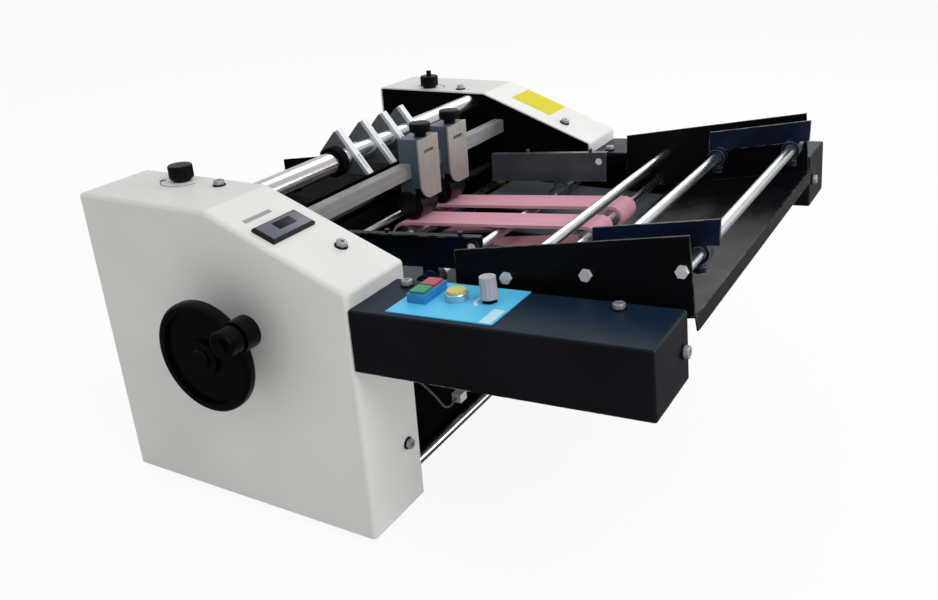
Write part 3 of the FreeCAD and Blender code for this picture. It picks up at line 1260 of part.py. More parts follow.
def front_guide_outline(height):
    """Side outline of a front guide; its upper edge follows the slope of the belts."""
    slope = (IDLER_Z - FEED_Z) / (IDLER_X - FEED_X) * FRONT_GUIDE_SLOPE_SHARE
    start_top = FRONT_GUIDE_TOP_Z - (FRONT_GUIDE_END_X - FRONT_GUIDE_START_X) * slope
    return [
        (FRONT_GUIDE_START_X, start_top - height),
        (FRONT_GUIDE_END_X, FRONT_GUIDE_TOP_Z - height),
        (FRONT_GUIDE_END_X, FRONT_GUIDE_TOP_Z),
        (FRONT_GUIDE_START_X, start_top),
    ]


def front_guide():
    """Near paper guide that slides on the rod under the belts, with its clamp screw and small screws."""
    y0 = FRONT_GUIDE_Y
    y1 = y0 + FRONT_GUIDE_SHEET
    face = prism_y(front_guide_outline(FRONT_GUIDE_HEIGHT), y0, y1)
    lip = prism_y(front_guide_outline(FRONT_GUIDE_SHEET), y0 - FRONT_GUIDE_LIP, y1)
    hub_start = y0 + FRONT_GUIDE_SHEET / 2 - FRONT_HUB_LENGTH / 2
    hub_end = hub_start + FRONT_HUB_LENGTH
    hub = rod_y(TABLE_ROD_X, TABLE_ROD_Z, FRONT_HUB_RADIUS, hub_start, hub_end)
    leg_half = FRONT_HUB_RADIUS
    leg = box(TABLE_ROD_X - leg_half, TABLE_ROD_X + leg_half, y0, y1, TABLE_ROD_Z,
              FRONT_GUIDE_TOP_Z - FRONT_GUIDE_HEIGHT)
    bore = rod_y(TABLE_ROD_X, TABLE_ROD_Z, ROD_RADIUS + RUNNING_FIT,
                 hub_start - OVERRUN, hub_end + OVERRUN)
    body = joined([face, lip, hub, leg]).cut(bore)
    bolt_x = FRONT_GUIDE_END_X - FRONT_HUB_RADIUS
    bolt_z = FRONT_GUIDE_TOP_Z - FRONT_GUIDE_BOLT_DROP
    bolt = rod_y(bolt_x, bolt_z, THUMB_SCREW_HEAD_RADIUS, y0 - TRAY_BOLT_HEAD, y0)
    studs = [bolt]
    span = FRONT_GUIDE_END_X - FRONT_GUIDE_START_X
    for share in FRONT_GUIDE_SCREW_SHARES:
        x = FRONT_GUIDE_START_X + span * share
        top = front_guide_outline(0)[3][1] + (FRONT_GUIDE_TOP_Z - front_guide_outline(0)[3][1]) * share
        middle_y = y0 - FRONT_GUIDE_LIP / 2
        studs.append(rod_z(x, middle_y, THUMB_SCREW_SHANK_RADIUS, top + RUNNING_FIT, top + TRAY_BOLT_HEAD))
    return Part.makeCompound([body] + studs)


def tray_guide():
    """Near paper guide on the tray rods, with two round hubs and their thumb screws."""
    y0 = TRAY_GUIDE_Y
    y1 = y0 + TRAY_GUIDE_SHEET
    low = -ROD_RADIUS - SEAT_GAP
    high = low - TRAY_GUIDE_RISE
    outline = [
        (TRAY_GUIDE_START_X, tray_z(TRAY_GUIDE_START_X, low)),
        (TRAY_GUIDE_END_X, tray_z(TRAY_GUIDE_END_X, low)),
        (TRAY_GUIDE_END_X, tray_z(TRAY_GUIDE_END_X, high)),
        (TRAY_GUIDE_START_X, tray_z(TRAY_GUIDE_START_X, high)),
    ]
    body = [prism_y(outline, y0, y1)]
    cuts = []
    screws = []
    hub_start = y0
    hub_end = hub_start + TRAY_HUB_LENGTH
    for x in TRAY_ROD_XS[1:]:
        z = tray_z(x, 0)
        body.append(rod_y(x, z, TRAY_HUB_RADIUS, hub_start, hub_end))
        cuts.append(rod_y(x, z, ROD_RADIUS + RUNNING_FIT, hub_start - OVERRUN, hub_end + OVERRUN))
        shank = rod_z(x, hub_start + THUMB_SCREW_HEAD_RADIUS, THUMB_SCREW_SHANK_RADIUS,
                      z - TRAY_HUB_RADIUS - THUMB_SCREW_HEAD_HEIGHT / 2, z - ROD_RADIUS - RUNNING_FIT)
        head = rod_z(x, hub_start + THUMB_SCREW_HEAD_RADIUS, THUMB_SCREW_HEAD_RADIUS,
                     z - TRAY_HUB_RADIUS - THUMB_SCREW_HEAD_HEIGHT * 3 / 2,
                     z - TRAY_HUB_RADIUS - THUMB_SCREW_HEAD_HEIGHT / 2)
        cuts.append(shank)
        screws.append(joined([shank, head]))
    return Part.makeCompound([joined(body).cut(cuts)] + screws)


def on_box(shape):
    """A piece drawn level on the near control box, tilted with it."""
    tilted = shape.copy()
    tilted.rotate(FreeCAD.Vector(COVER_LENGTH, 0, BOX_LOW_Z), Y_AXIS, -BOX_TILT_DEG)
    return tilted


def box_top():
    """Height of the level control box's upper face."""
    return BOX_LOW_Z + BOX_HEIGHT


def box_screw_places():
    """Place and outward direction of every screw in the near control box."""
    up = FreeCAD.Vector(-math.sin(BOX_TILT), 0, math.cos(BOX_TILT))
    along = FreeCAD.Vector(math.cos(BOX_TILT), 0, math.sin(BOX_TILT))
    corner = FreeCAD.Vector(COVER_LENGTH, 0, BOX_LOW_Z)
    places = []
    for distance in BOX_SCREW_ALONG:
        places.append((corner + along * distance + up * BOX_HEIGHT + Y_AXIS * BOX_SCREW_Y, up))
    end = corner + along * BOX_LENGTH + up * BOX_END_SCREW_RISE + Y_AXIS * BOX_END_SCREW_Y
    places.append((end, along))
    return places


def control_box():
    """Folded black box that reaches forward from a near cabinet, open below."""
    start = COVER_LENGTH - OVERRUN * 2
    end = COVER_LENGTH + BOX_LENGTH
    outer = box(start, end, 0, BOX_WIDTH, BOX_LOW_Z, box_top())
    bends = []
    for edge in outer.Edges:
        ends = [v.Point for v in edge.Vertexes]
        low = all(abs(p.z - BOX_LOW_Z) < RUNNING_FIT for p in ends)
        rear = all(abs(p.x - start) < RUNNING_FIT for p in ends)
        if not low and not rear:
            bends.append(edge)
    outer = outer.makeFillet(BOX_BEND, bends)
    inner = box(start - OVERRUN, end - BOX_SHEET, BOX_SHEET, BOX_WIDTH - BOX_SHEET,
                BOX_LOW_Z - OVERRUN, box_top() - BOX_SHEET)
    shell = on_box(outer.cut(inner))
    behind = box(start - BOX_HEIGHT, COVER_LENGTH, -OVERRUN, BOX_WIDTH + OVERRUN,
                 BOX_LOW_Z - BOX_HEIGHT, box_top() + BOX_HEIGHT)
    return shell.cut([behind] + [screw_hole(point, direction) for point, direction in box_screw_places()])


def control_panel():
    """Thin light blue plate on the near control box that the controls stand on."""
    start = COVER_LENGTH + PANEL_START
    plate = box(start, start + PANEL_LENGTH, PANEL_EDGE_Y, BOX_WIDTH - PANEL_INNER_MARGIN,
                box_top(), box_top() + PANEL_SHEET)
    return on_box(plate)


def control_base():
    """Height of the level panel's upper face."""
    return box_top() + PANEL_SHEET


def twin_button_limits():
    """Side view and width limits of the green and the red button in the twin housing."""
    x0 = COVER_LENGTH + TWIN_START + TWIN_WALL
    x1 = COVER_LENGTH + TWIN_START + TWIN_LENGTH - TWIN_WALL
    inner = (TWIN_WIDTH - 3 * TWIN_WALL) / 2
    near = TWIN_START_Y + TWIN_WALL
    far = near + inner + TWIN_WALL
    return [(x0, x1, near, near + inner), (x0, x1, far, far + inner)]


def button_housings():
    """Blue twin housing of the square buttons, the yellow button's ring and the speed knob's nut."""
    base = control_base()
    start = COVER_LENGTH + TWIN_START
    twin = box(start, start + TWIN_LENGTH, TWIN_START_Y, TWIN_START_Y + TWIN_WIDTH,
               base, base + TWIN_HEIGHT)
    wells = []
    for x0, x1, y0, y1 in twin_button_limits():
        wells.append(box(x0, x1, y0, y1, base + BUTTON_WELL_FLOOR, base + TWIN_HEIGHT + OVERRUN))
    twin = twin.cut(wells)
    x = COVER_LENGTH + YELLOW_ALONG
    ring = rod_z(x, YELLOW_Y, YELLOW_RADIUS + YELLOW_BEZEL_WALL, base, base + YELLOW_BEZEL_HEIGHT)
    ring = ring.cut(rod_z(x, YELLOW_Y, YELLOW_RADIUS + BUTTON_FIT, base + BUTTON_WELL_FLOOR,
                          base + YELLOW_BEZEL_HEIGHT + OVERRUN))
    speed_x = COVER_LENGTH + SPEED_ALONG
    nut = hexagon(SPEED_NUT_RADIUS * math.sqrt(3), SPEED_NUT_HEIGHT)
    nut.translate(FreeCAD.Vector(speed_x, SPEED_Y, base))
    stem = rod_z(speed_x, SPEED_Y, SPEED_STEM_RADIUS, base, base + SPEED_STEM_HEIGHT)
    return on_box(Part.makeCompound([twin, ring, joined([nut, stem])]))


def square_button(limits):
    """Square push button in its well, a full travel above the floor."""
    x0, x1, y0, y1 = limits
    low = control_base() + BUTTON_WELL_FLOOR + BUTTON_TRAVEL + BUTTON_FIT
    return on_box(box(x0 + BUTTON_FIT, x1 - BUTTON_FIT, y0 + BUTTON_FIT, y1 - BUTTON_FIT,
                      low, low + TWIN_BUTTON_HEIGHT))


def yellow_button():
    """Round push button in its ring."""
    x = COVER_LENGTH + YELLOW_ALONG
    low = control_base() + BUTTON_WELL_FLOOR + BUTTON_TRAVEL + BUTTON_FIT
    top = control_base() + YELLOW_BEZEL_HEIGHT + YELLOW_BUTTON_STICKOUT
    return on_box(rod_z(x, YELLOW_Y, YELLOW_RADIUS, low, top))


def speed_knob():
    """Light grey tapered knob of the speed control."""
    x = COVER_LENGTH + SPEED_ALONG
    low = control_base() + SPEED_NUT_HEIGHT + SEAT_GAP
    top = low + SPEED_KNOB_HEIGHT
    knob = Part.makeCone(SPEED_KNOB_RADIUS, SPEED_KNOB_TOP_RADIUS, SPEED_KNOB_HEIGHT,
                         FreeCAD.Vector(x, SPEED_Y, low), Z_AXIS)
    bore = rod_z(x, SPEED_Y, SPEED_STEM_RADIUS + RUNNING_FIT, low - OVERRUN,
                 control_base() + SPEED_STEM_HEIGHT + SEAT_GAP)
    knob = fluted(knob, x, SPEED_Y, SPEED_KNOB_RADIUS, low + SPEED_NUT_HEIGHT, top + OVERRUN)
    return on_box(knob.cut(bore))


def on_counter_place(shape):
    """A piece drawn level round the origin, set on the counter's place on the sloping face."""
    x, z = slope_point(COUNTER_MID_X, 0)
    placed = shape.copy()
    placed.rotate(FreeCAD.Vector(0, 0, 0), Y_AXIS, math.degrees(SLOPE_ANGLE))
    placed.translate(FreeCAD.Vector(x, COUNTER_MID_Y, z))
    return placed


def centred_box(length_x, length_y, z0, z1):
    """Block centred on the origin in plan."""
    return box(-length_x / 2, length_x / 2, -length_y / 2, length_y / 2, z0, z1)


def counter_hole():
    """Opening in the near cover for the counter's body."""
    hole = centred_box(COUNTER_BODY_WIDTH + 2 * SCREW_HOLE_FIT, COUNTER_BODY_LENGTH + 2 * SCREW_HOLE_FIT,
                       -COUNTER_BODY_DEPTH, OVERRUN)
    return on_counter_place(hole)


def counter_case():
    """Sheet counter: a bezel on the cover with its body behind and a recessed window."""
    bezel = centred_box(COUNTER_BEZEL_WIDTH, COUNTER_BEZEL_LENGTH, 0, COUNTER_BEZEL_HEIGHT)
    rim = [e for e in bezel.Edges
           if all(abs(v.Z - COUNTER_BEZEL_HEIGHT) < RUNNING_FIT for v in e.Vertexes)]
    bezel = bezel.makeFillet(COUNTER_RECESS_DEPTH, rim)
    body = centred_box(COUNTER_BODY_WIDTH, COUNTER_BODY_LENGTH, -COUNTER_BODY_DEPTH, 0)
    recess = centred_box(COUNTER_BEZEL_WIDTH - 2 * COUNTER_RECESS_MARGIN,
                         COUNTER_BEZEL_LENGTH - 4 * COUNTER_RECESS_MARGIN,
                         COUNTER_BEZEL_HEIGHT - COUNTER_RECESS_DEPTH, COUNTER_BEZEL_HEIGHT + OVERRUN)
    return on_counter_place(joined([bezel, body]).cut(recess))


def wheel_lug_place():
    """Side view place of the handwheel's lug."""
    angle = math.radians(WHEEL_LUG_ANGLE_DEG)
    return FEED_X + WHEEL_LUG_OFFSET * math.cos(angle), FEED_Z + WHEEL_LUG_OFFSET * math.sin(angle)


def handwheel():
    """Round handwheel with a thick rim, a thin web, a hub and a lug for the crank handle."""
    rim_start = WHEEL_OUTER_Y
    rim_end = WHEEL_OUTER_Y + WHEEL_RIM_WIDTH
    disc = rod_y(FEED_X, FEED_Z, WHEEL_RADIUS, rim_start, rim_end)
    rounded = [e for e in disc.Edges if len(e.Vertexes) == 1]
    disc = disc.makeFillet(WHEEL_RIM_ROUND, rounded)
    web_middle = (rim_start + rim_end) / 2
    inner = WHEEL_RADIUS - WHEEL_RIM_THICKNESS
    hollow_front = rod_y(FEED_X, FEED_Z, inner, rim_start - OVERRUN, web_middle - WHEEL_WEB_THICKNESS / 2)
    hollow_back = rod_y(FEED_X, FEED_Z, inner, web_middle + WHEEL_WEB_THICKNESS / 2, rim_end + OVERRUN)
    hub = rod_y(FEED_X, FEED_Z, WHEEL_HUB_RADIUS, rim_start, -WHEEL_HUB_GAP)
    x, z = wheel_lug_place()
    lug_end = rim_start + WHEEL_LUG_DEPTH
    lug = rod_y(x, z, WHEEL_LUG_RADIUS, rim_start, lug_end)
    bore = rod_y(FEED_X, FEED_Z, FEED_SHAFT_RADIUS, rim_start - OVERRUN, OVERRUN)
    pin_hole = rod_y(x, z, HANDLE_PIN_RADIUS, rim_start - OVERRUN, lug_end + OVERRUN)
    pin_end = rim_start - SEAT_GAP - HANDLE_LENGTH - SEAT_GAP
    pin = rod_y(x, z, HANDLE_PIN_RADIUS, pin_end - HANDLE_PIN_CAP_HEIGHT, lug_end)
    cap = rod_y(x, z, HANDLE_PIN_CAP_RADIUS, pin_end - HANDLE_PIN_CAP_HEIGHT, pin_end)
    wheel = joined([disc.cut([hollow_front, hollow_back]), hub, lug]).cut([bore, pin_hole])
    return Part.makeCompound([wheel, joined([pin, cap])])


def crank_handle():
    """Loose round handle on the handwheel's pin."""
    x, z = wheel_lug_place()
    end = WHEEL_OUTER_Y - SEAT_GAP
    grip = rod_y(x, z, HANDLE_RADIUS, end - HANDLE_LENGTH, end)
    rounded = [e for e in grip.Edges if len(e.Vertexes) == 1]
    grip = grip.makeFillet(HANDLE_END_ROUND, rounded)
    bore_start = end - HANDLE_LENGTH - OVERRUN
    return grip.cut(rod_y(x, z, HANDLE_PIN_RADIUS + RUNNING_FIT, bore_start, end + OVERRUN))


def motor_face_y():
    """Face of the motor that looks at the side plate."""
    return FAR_PLATE_OUTER_Y + MOTOR_STANDOFF


def motor():
    """Drive motor in the far cabinet on four pillars from the side plate."""
    face = motor_face_y()
    can = rod_y(MOTOR_X, MOTOR_Z, MOTOR_RADIUS, face, face + MOTOR_LENGTH)
    bore = rod_y(MOTOR_X, MOTOR_Z, MOTOR_SHAFT_RADIUS + RUNNING_FIT,
                 face - OVERRUN, face + MOTOR_LENGTH / 4)
    pillars = []
    for side_x in (-1, 1):
        for side_z in (-1, 1):
            x = MOTOR_X + side_x * MOTOR_PILLAR_OFFSET
            z = MOTOR_Z + side_z * MOTOR_PILLAR_OFFSET
            pillars.append(rod_y(x, z, MOTOR_PILLAR_RADIUS, FAR_PLATE_OUTER_Y, face))
    return joined([can] + pillars).cut(bore)


def motor_pulley():
    """Motor shaft with its timing pulley."""
    start = first_belt_y()
    shaft = rod_y(MOTOR_X, MOTOR_Z, MOTOR_SHAFT_RADIUS, FAR_PLATE_OUTER_Y + MOTOR_SHAFT_END_GAP,
                  motor_face_y() + MOTOR_LENGTH / 4 - SEAT_GAP)
    return joined([shaft, pulley(MOTOR_X, MOTOR_Z, MOTOR_PULLEY_RADIUS, MOTOR_SHAFT_RADIUS, start)])


def timing_belts():
    """Belts from the motor to the lower crease shaft and from there to the feed shaft."""
    low = (CREASE_X, CREASE_LOW_Z)
    small = MOTOR_PULLEY_RADIUS + SEAT_GAP
    large = DRIVE_PULLEY_RADIUS + SEAT_GAP
    first = belt_loop((MOTOR_X, MOTOR_Z), small, low, large, TIMING_BELT_THICKNESS,
                      first_belt_y(), first_belt_y() + TIMING_BELT_WIDTH)
    second = belt_loop(low, large, (FEED_X, FEED_Z), large, TIMING_BELT_THICKNESS,
                       second_belt_y(), second_belt_y() + TIMING_BELT_WIDTH)
    return Part.makeCompound([first, second])


def power_inlet():
    """Mains inlet in the far cover's delivery end, with three flat pins in its well."""
    half_width = INLET_WIDTH / 2
    half_height = INLET_HEIGHT / 2
    body = box(0, INLET_DEPTH, INLET_Y - half_width, INLET_Y + half_width, INLET_Z - half_height,
               INLET_Z + half_height)
    bezel = box(-INLET_BEZEL_SHEET, 0,
                INLET_Y - half_width - INLET_BEZEL, INLET_Y + half_width + INLET_BEZEL,
                INLET_Z - half_height - INLET_BEZEL, INLET_Z + half_height + INLET_BEZEL)
    well = box(-OVERRUN, INLET_DEPTH - INLET_WALL, INLET_Y - half_width + INLET_WALL,
               INLET_Y + half_width - INLET_WALL, INLET_Z - half_height + INLET_WALL,
               INLET_Z + half_height - INLET_WALL)
    pins = []
    for step in (-1, 0, 1):
        middle = INLET_Y + step * PIN_PITCH
        z = INLET_Z + (PIN_THICKNESS if step == 0 else -PIN_THICKNESS)
        pins.append(box(PIN_THICKNESS, INLET_DEPTH, middle - PIN_THICKNESS / 2, middle + PIN_THICKNESS / 2,
                        z - PIN_WIDTH / 2, z + PIN_WIDTH / 2))
    return joined([joined([body, bezel]).cut(well)] + pins)


def sensor_bracket():
    """Black bracket on the round bar that holds the sheet counter's paper sensor over the paper's way."""
    x = TIE_SHAFT_X
    z = TIE_SHAFT_Z
    middle = SENSOR_Y + SENSOR_SHEET / 2
    ring = rod_y(x, z, SENSOR_RING_RADIUS, middle - SENSOR_RING_WIDTH / 2, middle + SENSOR_RING_WIDTH / 2)
    outline = [
        (SENSOR_END_X, SENSOR_END_LOW_Z),
        (SENSOR_ROOT_X, SENSOR_ROOT_LOW_Z),
        (x, z - TIE_SHAFT_RADIUS),
        (x, z + TIE_SHAFT_RADIUS),
        (SENSOR_ROOT_X, SENSOR_ROOT_TOP_Z),
        (SENSOR_END_X, SENSOR_END_TOP_Z),
    ]
    plate = prism_y(outline, SENSOR_Y, SENSOR_Y + SENSOR_SHEET)
    head = box(SENSOR_END_X, SENSOR_END_X + SENSOR_HEAD_LENGTH, middle - SENSOR_HEAD_WIDTH / 2,
               middle + SENSOR_HEAD_WIDTH / 2, SENSOR_END_LOW_Z - SENSOR_HEAD_HEIGHT / 2,
               SENSOR_END_LOW_Z + SENSOR_HEAD_HEIGHT / 2)
    bore = rod_y(x, z, TIE_SHAFT_RADIUS, SENSOR_Y - SENSOR_RING_WIDTH, SENSOR_Y + 2 * SENSOR_RING_WIDTH)
    return joined([ring, plate, head]).cut(bore)


def loom_plug():
    """White plug on the apron that joins the control box's leads."""
    x0 = APRON_X + APRON_SHEET
    return box(x0, x0 + PLUG_WIDTH, PLUG_Y, PLUG_Y + PLUG_LENGTH, PLUG_Z, PLUG_Z + PLUG_HEIGHT)


def loom_lead_points():
    """Chosen route of the short lead, from the plug in a loose loop up to the near side plate."""
    x0 = APRON_X + APRON_SHEET + PLUG_WIDTH / 2
    y0 = PLUG_Y - SEAT_GAP
    z0 = PLUG_Z + PLUG_HEIGHT / 2
    return [FreeCAD.Vector(x0 + dx, y0 + dy, z0 + dz) for dx, dy, dz in LEAD_BENDS]


def loom_lead():
    """Short thin lead between the plug and the near side plate."""
    curve = Part.BSplineCurve()
    curve.interpolate(loom_lead_points())
    path = Part.Wire(curve.toShape())
    start = loom_lead_points()[0]
    ring = Part.Circle(start, curve.tangent(curve.FirstParameter)[0], LEAD_RADIUS)
    return path.makePipeShell([Part.Wire(ring.toShape())], True, False)


def machine():
    """Every piece by its node name."""
    gates = gate_middles()
    twin = twin_button_limits()
    near_front = front_guide()
    near_tray = tray_guide()
    pieces = {
        "near_side_cover": near_side_cover(),
        "far_side_cover": far_side_cover(),
        "near_side_plate": side_plate(),
        "far_side_plate": mirrored(side_plate()),
        "upper_tie_shaft": upper_tie_shaft(),
        "gate_bar": gate_bar(),
        "tie_rods": tie_rods(),
        "rod_bolts": rod_bolts(),
        "cover_screws": cover_screws(),
        "feet": feet(),
        "front_apron": front_apron(),
        "paper_bridge": paper_bridge(),
        "feed_table": feed_table(),
        "tray_floor": tray_floor(),
        "tray_side_plates": tray_side_plates(),
        "tray_rods": tray_rods(),
        "bearings": bearings(),
        "pressure_blocks": pressure_blocks(),
        "pressure_springs": pressure_springs(),
        "near_pressure_knob": pressure_knob(False),
        "far_pressure_knob": mirrored(pressure_knob(True)),
        "lower_crease_shaft": lower_crease_shaft(),
        "upper_crease_shaft": upper_crease_shaft(),
        "lower_crease_gear": lower_crease_gear(),
        "upper_crease_gear": upper_crease_gear(),
        "feed_shaft": feed_shaft(),
        "belt_idler": belt_idler(),
        "feed_belts": feed_belts(),
        "near_gate_carriage": gate_carriage(gates[0]),
        "far_gate_carriage": gate_carriage(gates[1]),
        "near_gate_plate": gate_plate(gates[0]),
        "far_gate_plate": gate_plate(gates[1]),
        "near_gate_knob": gate_knob(gates[0]),
        "far_gate_knob": gate_knob(gates[1]),
        "near_front_guide": near_front,
        "far_front_guide": mirrored(near_front),
        "near_tray_guide": near_tray,
        "far_tray_guide": mirrored(near_tray),
        "near_control_box": control_box(),
        "far_control_box": mirrored(control_box()),
        "control_panel": control_panel(),
        "button_housings": button_housings(),
        "green_button": square_button(twin[0]),
        "red_button": square_button(twin[1]),
        "yellow_button": yellow_button(),
        "speed_knob": speed_knob(),
        "counter_case": counter_case(),
        "handwheel": handwheel(),
        "crank_handle": crank_handle(),
        "motor": motor(),
        "motor_pulley": motor_pulley(),
        "timing_belts": timing_belts(),
        "power_inlet": power_inlet(),
        "sensor_bracket": sensor_bracket(),
        "loom_plug": loom_plug(),
        "loom_lead": loom_lead(),
    }
    for number, face_y in enumerate(HOLD_ARM_REACHES, start=1):
        pieces["hold_down_arm_" + str(number)] = hold_down_arm(face_y)
    return pieces


def floor_middle(pieces):
    """Move that brings the middle of the machine's floor area to the origin."""
    whole = FreeCAD.BoundBox()
    for shape in pieces.values():
        whole.add(shape.optimalBoundingBox(False))
    return FreeCAD.Vector(-(whole.XMin + whole.XMax) / 2, -(whole.YMin + whole.YMax) / 2, -whole.ZMin)


def main():
    """Build every piece and write one file for each."""
    os.makedirs("parts", exist_ok=True)
    pieces = machine()
    move = floor_middle(pieces)
    for name, shape in pieces.items():
        placed = shape.copy()
        placed.translate(move)
        placed.exportStep("parts/" + name + ".step")
    print("pieces", len(pieces), "moved by", move)


main()
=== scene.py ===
"""Looks of a desktop paper creasing machine, laid over its fixed frame.

Every new piece is drawn in millimetres in the drawing frame of the machine: x runs from the delivery end
to the feed end, y from the near cabinet to the far one, z up from the lower edge of the cabinets. It is
moved to the frame of the solids in metres when it is finished.
"""

import logging
import math
from dataclasses import dataclass
from enum import Enum

import bmesh
import bpy
from mathutils import Matrix, Vector


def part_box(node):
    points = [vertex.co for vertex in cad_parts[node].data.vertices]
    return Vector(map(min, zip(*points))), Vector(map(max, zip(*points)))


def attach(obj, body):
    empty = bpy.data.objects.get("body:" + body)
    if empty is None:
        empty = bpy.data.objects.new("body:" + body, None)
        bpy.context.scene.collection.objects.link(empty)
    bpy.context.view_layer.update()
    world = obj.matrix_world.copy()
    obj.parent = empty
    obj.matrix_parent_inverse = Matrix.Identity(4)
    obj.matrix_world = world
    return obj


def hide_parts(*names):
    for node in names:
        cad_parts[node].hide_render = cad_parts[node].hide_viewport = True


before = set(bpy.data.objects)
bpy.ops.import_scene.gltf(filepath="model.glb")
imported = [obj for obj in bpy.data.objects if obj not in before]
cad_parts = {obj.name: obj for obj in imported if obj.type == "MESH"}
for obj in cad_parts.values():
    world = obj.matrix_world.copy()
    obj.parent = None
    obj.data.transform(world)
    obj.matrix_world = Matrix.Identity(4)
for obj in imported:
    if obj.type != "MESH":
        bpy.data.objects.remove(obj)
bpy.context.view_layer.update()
DRAWING = Matrix.Translation(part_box("near_side_cover")[0]) @ Matrix.Scale(0.001, 4)
log = logging.getLogger("creasing_machine")

Shape = bmesh.types.BMesh
Pair = tuple[float, float]
Triple = tuple[float, float, float]
Socket = bpy.types.NodeSocket
Tree = bpy.types.NodeTree
Node = bpy.types.Node


def linear(colour: str) -> tuple[float, float, float, float]:
    """Turns a written sRGB colour to the linear one that the shader takes.

    Args:
        colour: Six hex digits.

    Returns:
        Red, green, blue and an opacity of one.
    """
    parts = [int(colour[i : i + 2], 16) / 255 for i in (0, 2, 4)]
    red, green, blue = (p / 12.92 if p <= 0.04045 else ((p + 0.055) / 1.055) ** 2.4 for p in parts)
    return red, green, blue, 1.0


def add(tree: Tree, kind: str, inputs: dict | None = None, **settings: object) -> Node:
    """Adds one node, gives it its settings and fills or links its inputs.

    Args:
        tree: The material's or the world's node tree.
        kind: The node's type, without its leading ShaderNode.
        inputs: Socket name or number, and its value or the socket that it follows.
        **settings: Properties of the node.

    Returns:
        The new node.
    """
    node = tree.nodes.new("ShaderNode" + kind)
    for name, value in settings.items():
        setattr(node, name, value)
    for name, value in (inputs or {}).items():
        if isinstance(value, Socket):
            tree.links.new(value, node.inputs[name])
        else:
            node.inputs[name].default_value = value
    return node


class Grain(Enum):
    """Way that a metal's tool marks run, as the stretch of their pattern along x, y and z."""

    ROUND_THE_BAR = (0.05, 1.0, 0.05)
    ALONG_THE_BAR = (1.0, 0.015, 1.0)
    UP_THE_PLATE = (0.3, 1.0, 0.03)
    ANY_WAY = (1.0, 1.0, 1.0)


@dataclass(frozen=True)
class Finish:
    """What every finish has: the name of its material, its colour and how rough it is."""

    name: str
    colour: str
    roughness: float

    def material(self) -> bpy.types.Material:
        """Makes the material once and hands out the same one after that.

        Returns:
            The finished material.
        """
        made = bpy.data.materials.get(self.name)
        if made is None:
            made = bpy.data.materials.new(self.name)
            made.use_nodes = True
            tree = made.node_tree
            tree.nodes.clear()
            inputs = {"Base Color": linear(self.colour), "Roughness": self.roughness}
            shader = add(tree, "BsdfPrincipled", inputs)
            add(tree, "OutputMaterial", {"Surface": shader.outputs["BSDF"]})
            self.lay(tree, shader)
        return made

    def lay(self, tree: Tree, shader: Node) -> None:
        """Adds the detail of the finish to a plain shader."""

    def patches(self, tree: Tree, size: float, stretch: Triple = (1, 1, 1), detail: float = 2) -> Socket:
        """Lays soft patches of a real size over the surface.

        Args:
            tree: The material's node tree.
            size: Width of a patch, in millimetres.
            stretch: How fast the pattern changes along x, y and z.
            detail: How many finer layers lie on it.

        Returns:
            The pattern, from nought to one.
        """
        place = add(tree, "TexCoord").outputs["Object"]
        place = add(tree, "Mapping", {"Vector": place, "Scale": stretch}).outputs["Vector"]
        inputs = {"Vector": place, "Scale": 1000 / size, "Detail": detail}
        return add(tree, "TexNoise", inputs).outputs["Fac"]

    def between(self, tree: Tree, value: Socket, start: Pair, end: Pair) -> Socket:
        """Stretches a pattern from one range to another and clips it there.

        Args:
            tree: The material's node tree.
            value: The pattern.
            start: The part of the pattern that is used.
            end: What it becomes.

        Returns:
            The stretched pattern.
        """
        inputs = {"Value": value, "From Min": start[0], "From Max": start[1]}
        inputs |= {"To Min": end[0], "To Max": end[1]}
        return add(tree, "MapRange", inputs).outputs["Result"]

    def tinted(self, tree: Tree, amount: Socket, base: Socket | str, other: str) -> Socket:
        """Mixes a second colour over the first.

        Args:
            tree: The material's node tree.
            amount: Where and how much of the second colour shows.
            base: The first colour, written or from another node.
            other: The second colour, written.

        Returns:
            The mixed colour.
        """
        first = linear(base) if isinstance(base, str) else base
        return add(tree, "Mix", {0: amount, 6: first, 7: linear(other)}, data_type="RGBA").outputs[2]

    def dented(self, tree: Tree, height: Socket, depth: float, under: Socket | None = None) -> Socket:
        """Turns a pattern into small dents.

        Args:
            tree: The material's node tree.
            height: The pattern.
            depth: Depth of a dent, in millimetres.
            under: Dents that these lie on.

        Returns:
            The direction of the dented surface.
        """
        inputs = {"Height": height, "Distance": depth / 1000}
        if under is not None:
            inputs["Normal"] = under
        return add(tree, "Bump", inputs).outputs["Normal"]


